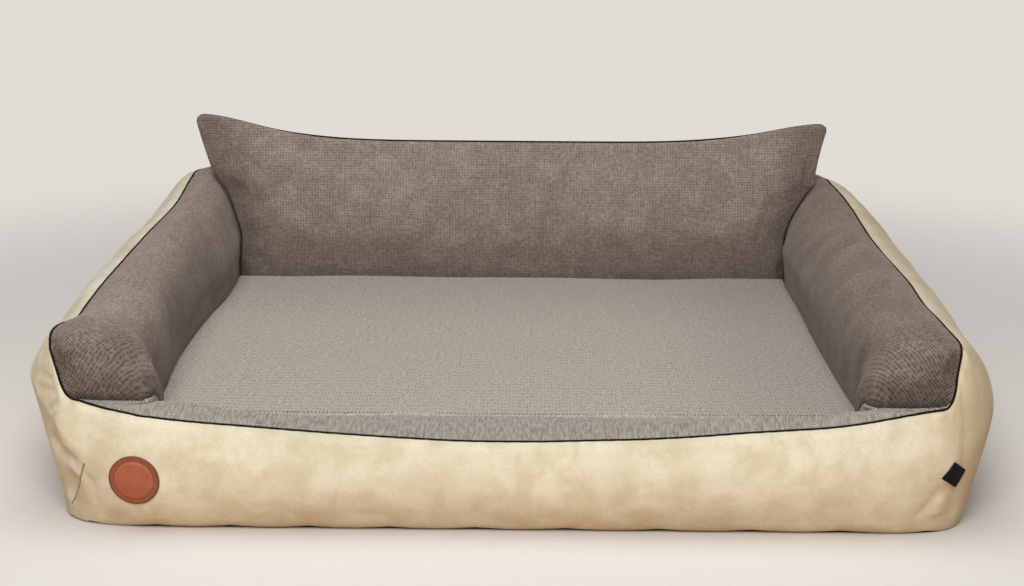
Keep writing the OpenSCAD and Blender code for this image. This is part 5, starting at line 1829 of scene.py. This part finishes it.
class BED_OT_mattress(Operator):
    """Mattress: covers, band, stitching and two layers of foam"""

    bl_idname = "bed.mattress"
    bl_label = "Mattress"

    def execute(self, context):
        z = ready(context)
        low, top = mattress_levels(z)
        outline = mattress_outline(z, 0.0)

        for name, node, upper, cloth, slot, rests in (
                ("mattress_top_cover", "mattress_top_panel", True, "mattress cloth", "mattress_cloth",
                 "memory_foam_slab"),
                ("mattress_base_cover", "mattress_bottom_panel", False, "base", "base_cloth",
                 "support_foam_slab")):
            points, faces = ring_shell(mattress_rings(z, 0.0, upper, shares=FACE_SHARES), upper)
            if upper:
                points = swelled(z, points)
            piece = dress(thickened(mesh_piece(name, points, faces, points[:, :2]), z.cover_t), cloth)
            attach(piece, "mattress")
            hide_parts(node)

        height = top - low - 2 * z.mattress_roll
        steps = 14
        levels = [low + z.mattress_roll + height * i / steps for i in range(steps + 1)]
        count = len(outline)
        grid = np.stack([np.column_stack([outline, np.full(count, level)]) for level in levels], axis=1)
        grid = np.concatenate([grid, grid[:1]])
        uvs = grid_lengths(grid)
        between = np.sin(math.pi * np.arange(steps + 1) / steps)[None, :]
        swell = between * (0.0004 + 0.0003 * wander(44, grid, 0.2, 2))
        way = grid_normals(grid)
        way = -way if (way[len(way) // 8, 5] @ (grid[len(way) // 8, 5] * [1, 1, 0])) < 0 else way
        grid = grid + way * (swell - 0.0005)[..., None]
        band = dress(cloth_piece("mattress_band", grid, z.cover_t, uvs=uvs), "mattress cloth")
        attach(band, "mattress")
        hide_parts("mattress_side_band")

        inset = z.cover_t + FILL_GAP + 0.0008
        split = top - z.memory_foam_h
        for name, node, upper, cloth, slot in (
                ("memory_foam_slab", "memory_foam_layer", True, "memory foam", "memory_foam"),
                ("support_foam_slab", "support_foam_block", False, "foam", "foam")):
            rings = mattress_rings(z, inset, upper, steps=5, shares=[0.9, 0.7, 0.5, 0.3, 0.1])
            level = split if upper else split - SEAT_GAP
            edge = np.column_stack([mattress_outline(z, inset), np.full(count, level)])
            points, faces = ring_shell(np.concatenate([edge[None], rings]), upper)
            cap = tuple(range(count - 1, -1, -1)) if upper else tuple(range(count))
            piece = dress(mesh_piece(name, points, faces + [cap]), cloth)
            make_active(piece)
            bpy.ops.object.shade_smooth_by_angle(angle=math.radians(40))
            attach(piece, "mattress")
            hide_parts(node)

        self.stitch(z, top)
        return {"FINISHED"}

    def stitch(self, z, top):
        """A row of stitches round the upper face, just in from the rolled edge."""
        line = mattress_outline(z, z.mattress_roll * 0.62)
        line = np.vstack([line, line[:1]])
        run = run_along(line)
        at = np.arange(int(run[-1] / STITCH_PITCH)) * STITCH_PITCH
        centres = np.column_stack([np.interp(at, run, line[:, k]) for k in (0, 1)])
        aheads = np.column_stack([np.interp(at + 0.001, run, line[:, k]) for k in (0, 1)])
        bpy.ops.mesh.primitive_uv_sphere_add(segments=8, ring_count=5, radius=1.0, location=(0, 0, 0))
        seed = bpy.context.object
        shape = np.array([v.co[:] for v in seed.data.vertices]) * STITCH_HALF
        pattern = [tuple(p.vertices) for p in seed.data.polygons]
        bpy.data.objects.remove(seed, do_unlink=True)
        height = top - z.mattress_roll * (1 - math.sqrt(1 - 0.38 ** 2)) + 0.0001
        points, faces = [], []
        for c, a in zip(centres, aheads):
            d = (a - c) / np.linalg.norm(a - c)
            turn = np.array([[d[0], d[1]], [-d[1], d[0]]])
            base = len(points) * len(shape)
            points.append(np.column_stack([shape[:, :2] @ turn + c, shape[:, 2] + height]))
            faces += [tuple(base + i for i in face) for face in pattern]
        piece = dress(mesh_piece("mattress_edge_stitches", np.concatenate(points), faces), "thread")
        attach(piece, "mattress")


# The back cushion

SEAM_GAP = 0.0002
CUSHION_GAP = 0.0095
FIBRE_GAP = 0.006
FULL_V = 0.42
PRESSED_FLAT = 0.94

# How far the ear on each side reaches past half the ears' width, and how its edge curves out to it
EAR_EXTRA = {-1: 0.0065, 1: 0.0025}
EAR_POWER = {-1: 0.9, 1: 1.35}


def rounded_corners(u, v, wide, high):
    """Places in a panel (u from -1 to 1, v from 0 to 1) with its upper corners turned."""
    a = clamp01((np.abs(u) - 1 + wide) / wide)
    b = clamp01((v - 1 + high) / high)
    across, up = a * np.sqrt(1 - b * b / 2), b * np.sqrt(1 - a * a / 2)
    return np.sign(u) * (np.abs(u) + wide * (across - a)), v + high * (up - b)


class Cushion:
    """The cushion's seam and faces, from the same curves as its solids."""

    def __init__(self, z):
        self.z = z
        floor = z.base_t + SEAT_GAP
        self.y = nook_front(z) + CUSHION_GAP + z.cushion_t / 2
        self.half = z.cushion_t / 2 - z.cover_t - SEAM_GAP / 2
        self.foot = floor + z.piping_d + SEAT_GAP
        self.ear_top = floor + z.cushion_h + z.ear_rise - SEAT_GAP - z.piping_d
        ring = frame_ring(z)
        inner = ring["grid"][:, ring["seam_row"]:]
        self.beside = {}
        for side in (-1, 1):
            away = np.abs(inner[:, -1, 1] - self.y) + 9 * (side * inner[:, -1, 0] < 0.3)
            face = inner[away.argmin()]
            face = face[face[:, 2].argmax():][::-1]
            self.beside[side] = np.maximum.accumulate(face[:, 2]), side * face[:, 0]

    def edge(self, h, side):
        """Half width of the cushion at a height: against the bolster, and free above it."""
        heights, out = self.beside[side]
        top = heights[-1]
        against = np.interp(np.minimum(h, top) - 0.004, heights, out) - EDGE_GAP
        ear = self.z.ear_w / 2 - self.z.piping_d + EAR_EXTRA[side]
        return lerp(against, ear, clamp01((h - top) / (self.ear_top - top)) ** EAR_POWER[side])

    def seam(self, u, v):
        """A point of the seam's plane."""
        z = self.z
        h_edge = lerp(self.foot, self.ear_top, v)
        u, v = rounded_corners(u, v, EAR_TURN / (z.ear_w / 2), EAR_TURN / z.cushion_h)
        rise = np.where(u < 0, EAR_RISES[0], EAR_RISES[1]) * (1 - (1 - np.abs(u) ** 5.6) ** 2.6)
        h = lerp(self.foot, self.ear_top - z.ear_rise - 0.002 + rise, v)
        half = np.where(u < 0, self.edge(h_edge, -1), self.edge(h_edge, 1))
        x = u * half - z.ear_shift * smooth((v - 0.55) / 0.45)
        return np.stack([x, self.y + z.cushion_lean * v, h], axis=-1)

    def swell(self, u, v):
        """How far a face stands off the seam's plane."""
        rise = np.where(v < FULL_V, np.sin(math.pi / 2 * v / FULL_V),
                        np.cos(math.pi / 2 * clamp01((v - FULL_V) / (1 - FULL_V))) ** 0.6)
        return self.half * (1 - np.abs(u) ** 5) ** 0.55 * np.maximum(rise, 0)

    def face(self, side, columns, rows, off=0.0):
        """A grid of points on one face, closer together near the seams."""
        u = np.sin(np.radians(np.linspace(-90, 90, columns)))[:, None] * np.ones((1, rows))
        v = (1 + np.sin(np.radians(np.linspace(-90, 90, rows))))[None, :] / 2 * np.ones((columns, 1))
        points = self.seam(u, v)
        points[..., 1] += side * (self.swell(u, v) + off)
        return points, u, v


class BED_OT_cushion(Operator):
    """Back cushion: two panels, piping and filling"""

    bl_idname = "bed.cushion"
    bl_label = "Back cushion"

    def execute(self, context):
        z = ready(context)
        shape = Cushion(z)
        columns, rows = 141, 57
        front, u, v = shape.face(-1, columns, rows, SEAM_GAP / 2 + z.cover_t)
        back, _, _ = shape.face(1, columns, rows, SEAM_GAP / 2 + z.cover_t)
        front, back = self.settle(z, shape, front, back, u, v)
        for name, grid, flip in (("cushion_front_panel", front, False), ("cushion_back_panel", back, True)):
            fine = finer(grid)
            cover = cloth_piece(name + "_cover", fine, z.cover_t * 0.9, flip=flip, uvs=fine[..., [0, 2]])
            piece = dress(cover, "cushion velour")
            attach(piece, "cushion")
            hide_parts(name)
        self.pipe(z, shape)
        self.fill(shape)
        return {"FINISHED"}

    def settle(self, z, shape, front, back, u, v):
        """Lets the filling press the two faces out as cloth, with the seam held."""
        columns, rows = front.shape[:2]
        edge = (np.abs(u) > 0.9999) | (v < 1e-6) | (v > 1 - 1e-6)
        seam = shape.seam(u, v)
        points = np.concatenate([
            (seam + (face - seam) * np.array([1, PRESSED_FLAT, 1])).reshape(-1, 3) for face in (front, back)])
        shift = columns * rows
        faces = grid_faces(columns, rows) + grid_faces(columns, rows, flip=True, base=shift)
        border = border_of(columns, rows)
        faces += [(a, b, b + shift, a + shift) for a, b in zip(border, border[1:] + border[:1])]
        held = np.concatenate([edge.ravel(), edge.ravel()]).astype(float)
        shaped = inflate("cushion_cloth", points, faces, held, z.fullness * 0.8, z.cloth_frames,
                         shrink=-0.015, bend=0.6)
        out = []
        for grid, part, side in ((front, shaped[:shift], -1), (back, shaped[shift:], 1)):
            moved = part.reshape(grid.shape) - grid
            high = smooth((grid[..., 2] - 0.125) / 0.06)
            if side < 0:
                room = lerp(0.0005, 0.008, high)
            else:
                room = lerp(0.0005, 0.004, smooth((grid[..., 2] - 0.28) / 0.03))
            moved[..., 1] = side * np.clip(side * moved[..., 1], -0.012, room)
            moved[..., [0, 2]] = np.clip(moved[..., [0, 2]], -0.004, 0.004)
            grid = grid + moved * smooth(shape.swell(u, v) / 0.014)[..., None]
            soft = smooth(shape.swell(u, v) / 0.02)
            swells = 0.0022 * wander(51 + side, grid, 0.19, 3) * high - 0.0010 * (1 - high)
            grid[..., 1] += side * soft * swells
            out.append(grid)
        return out

    def pipe(self, z, shape):
        """Thin piping, half sunk in the edge seam."""
        steps, side_steps = 240, 130
        k = np.sin(np.radians(np.linspace(-90, 90, steps)))
        tall = (1 + np.sin(np.radians(np.linspace(-90, 90, side_steps)))) / 2
        edges = ((k, np.zeros(steps)), (np.ones(side_steps), tall),
                 (-k, np.ones(steps)), (-np.ones(side_steps), tall[::-1]))
        path = np.concatenate([shape.seam(u, v)[:-1] for u, v in edges])
        keep = np.linalg.norm(path - np.roll(path, 1, axis=0), axis=1) > 0.0006
        path = path[keep]
        ahead = np.roll(path, -3, axis=0) - np.roll(path, 3, axis=0)
        outward = np.stack([ahead[:, 2], np.zeros(len(path)), -ahead[:, 0]], axis=1)
        outward /= np.linalg.norm(outward, axis=1, keepdims=True)
        proud = smooth((0.40 - np.abs(path[:, 0])) / 0.12) * (path[:, 2] > 0.2)
        path = path + outward * (z.edge_piping_d * (0.45 * proud - 0.25))[:, None]
        cord = cord_piece("cushion_piping_cord", path, z.edge_piping_d / 2, 10, outward, -0.45 * (1 - proud))
        piece = dress(cord, "piping")
        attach(piece, "cushion")
        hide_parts("cushion_piping")

    def fill(self, shape):
        """Loose fibre inside the two panels."""
        grids = [shape.face(side, 71, 29, -FIBRE_GAP)[0][2:-2, 2:-2] for side in (-1, 1)]
        columns, rows = grids[0].shape[:2]
        middle = (grids[0] + grids[1]) / 2
        for grid, side in zip(grids, (-1, 1)):
            off = np.maximum(side * (grid - middle)[..., 1], 0.0006)
            grid[..., 1] = middle[..., 1] + side * off
        points = np.concatenate([g.reshape(-1, 3) for g in grids])
        shift = columns * rows
        faces = grid_faces(columns, rows) + grid_faces(columns, rows, flip=True, base=shift)
        border = border_of(columns, rows)
        faces += [(a, a + shift, b + shift, b) for a, b in zip(border, border[1:] + border[:1])]
        piece = turn_outward(dress(mesh_piece("cushion_fibre", points, faces), "fibre"))
        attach(piece, "cushion")
        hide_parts("cushion_filling")


class BED_OT_zips(Operator):
    """Finishes of the three zips, whose solids keep their shapes"""

    bl_idname = "bed.zips"
    bl_label = "Zips"

    def execute(self, context):
        ready(context)
        for zip_name in ("frame", "mattress", "cushion"):
            for part, name in (("tape", "zip tape"), ("teeth", "zip teeth"), ("slider", "zip metal"),
                               ("pull", "zip metal")):
                dress(bpy.data.objects[f"{zip_name}_zip_{part}"], name)
        return {"FINISHED"}


class BED_PT_panel(Panel):
    """Lists the pieces of the bed"""

    bl_idname = "BED_PT_panel"
    bl_label = "Orthopedic Pet Bed"
    bl_space_type = "VIEW_3D"
    bl_region_type = "UI"
    bl_category = "Pet Bed"

    def draw(self, context):
        layout = self.layout
        for operator in OPERATORS:
            layout.operator(operator.bl_idname)
        for group in (context.scene.bed_sizes, context.scene.bed_colours, context.scene.bed_stage):
            box = layout.box()
            for name in group.__annotations__:
                box.prop(group, name)


OPERATORS = (
    BED_OT_stage, BED_OT_wall_fillings, BED_OT_outer_covers, BED_OT_inner_covers, BED_OT_rim_piping,
    BED_OT_base_cloth, BED_OT_patch, BED_OT_tag, BED_OT_mattress, BED_OT_cushion, BED_OT_zips,
)
GROUPS = (BedSizes, BedColours, StageSettings)


def register():
    """Registers the groups, operators and panel."""
    for cls in (*GROUPS, *OPERATORS, BED_PT_panel):
        bpy.utils.register_class(cls)
    bpy.types.Scene.bed_sizes = PointerProperty(type=BedSizes)
    bpy.types.Scene.bed_colours = PointerProperty(type=BedColours)
    bpy.types.Scene.bed_stage = PointerProperty(type=StageSettings)


def unregister():
    """Takes them out again."""
    for name in ("bed_sizes", "bed_colours", "bed_stage"):
        delattr(bpy.types.Scene, name)
    for cls in reversed((*GROUPS, *OPERATORS, BED_PT_panel)):
        bpy.utils.unregister_class(cls)


def main():
    """Builds the bed in order."""
    register()
    bpy.ops.bed.stage()
    bpy.ops.bed.wall_fillings()
    bpy.ops.bed.outer_covers()
    bpy.ops.bed.inner_covers()
    bpy.ops.bed.rim_piping()
    bpy.ops.bed.base_cloth()
    bpy.ops.bed.patch()
    bpy.ops.bed.tag()
    bpy.ops.bed.mattress()
    bpy.ops.bed.cushion()
    bpy.ops.bed.zips()


if __name__ == "__main__":
    main()
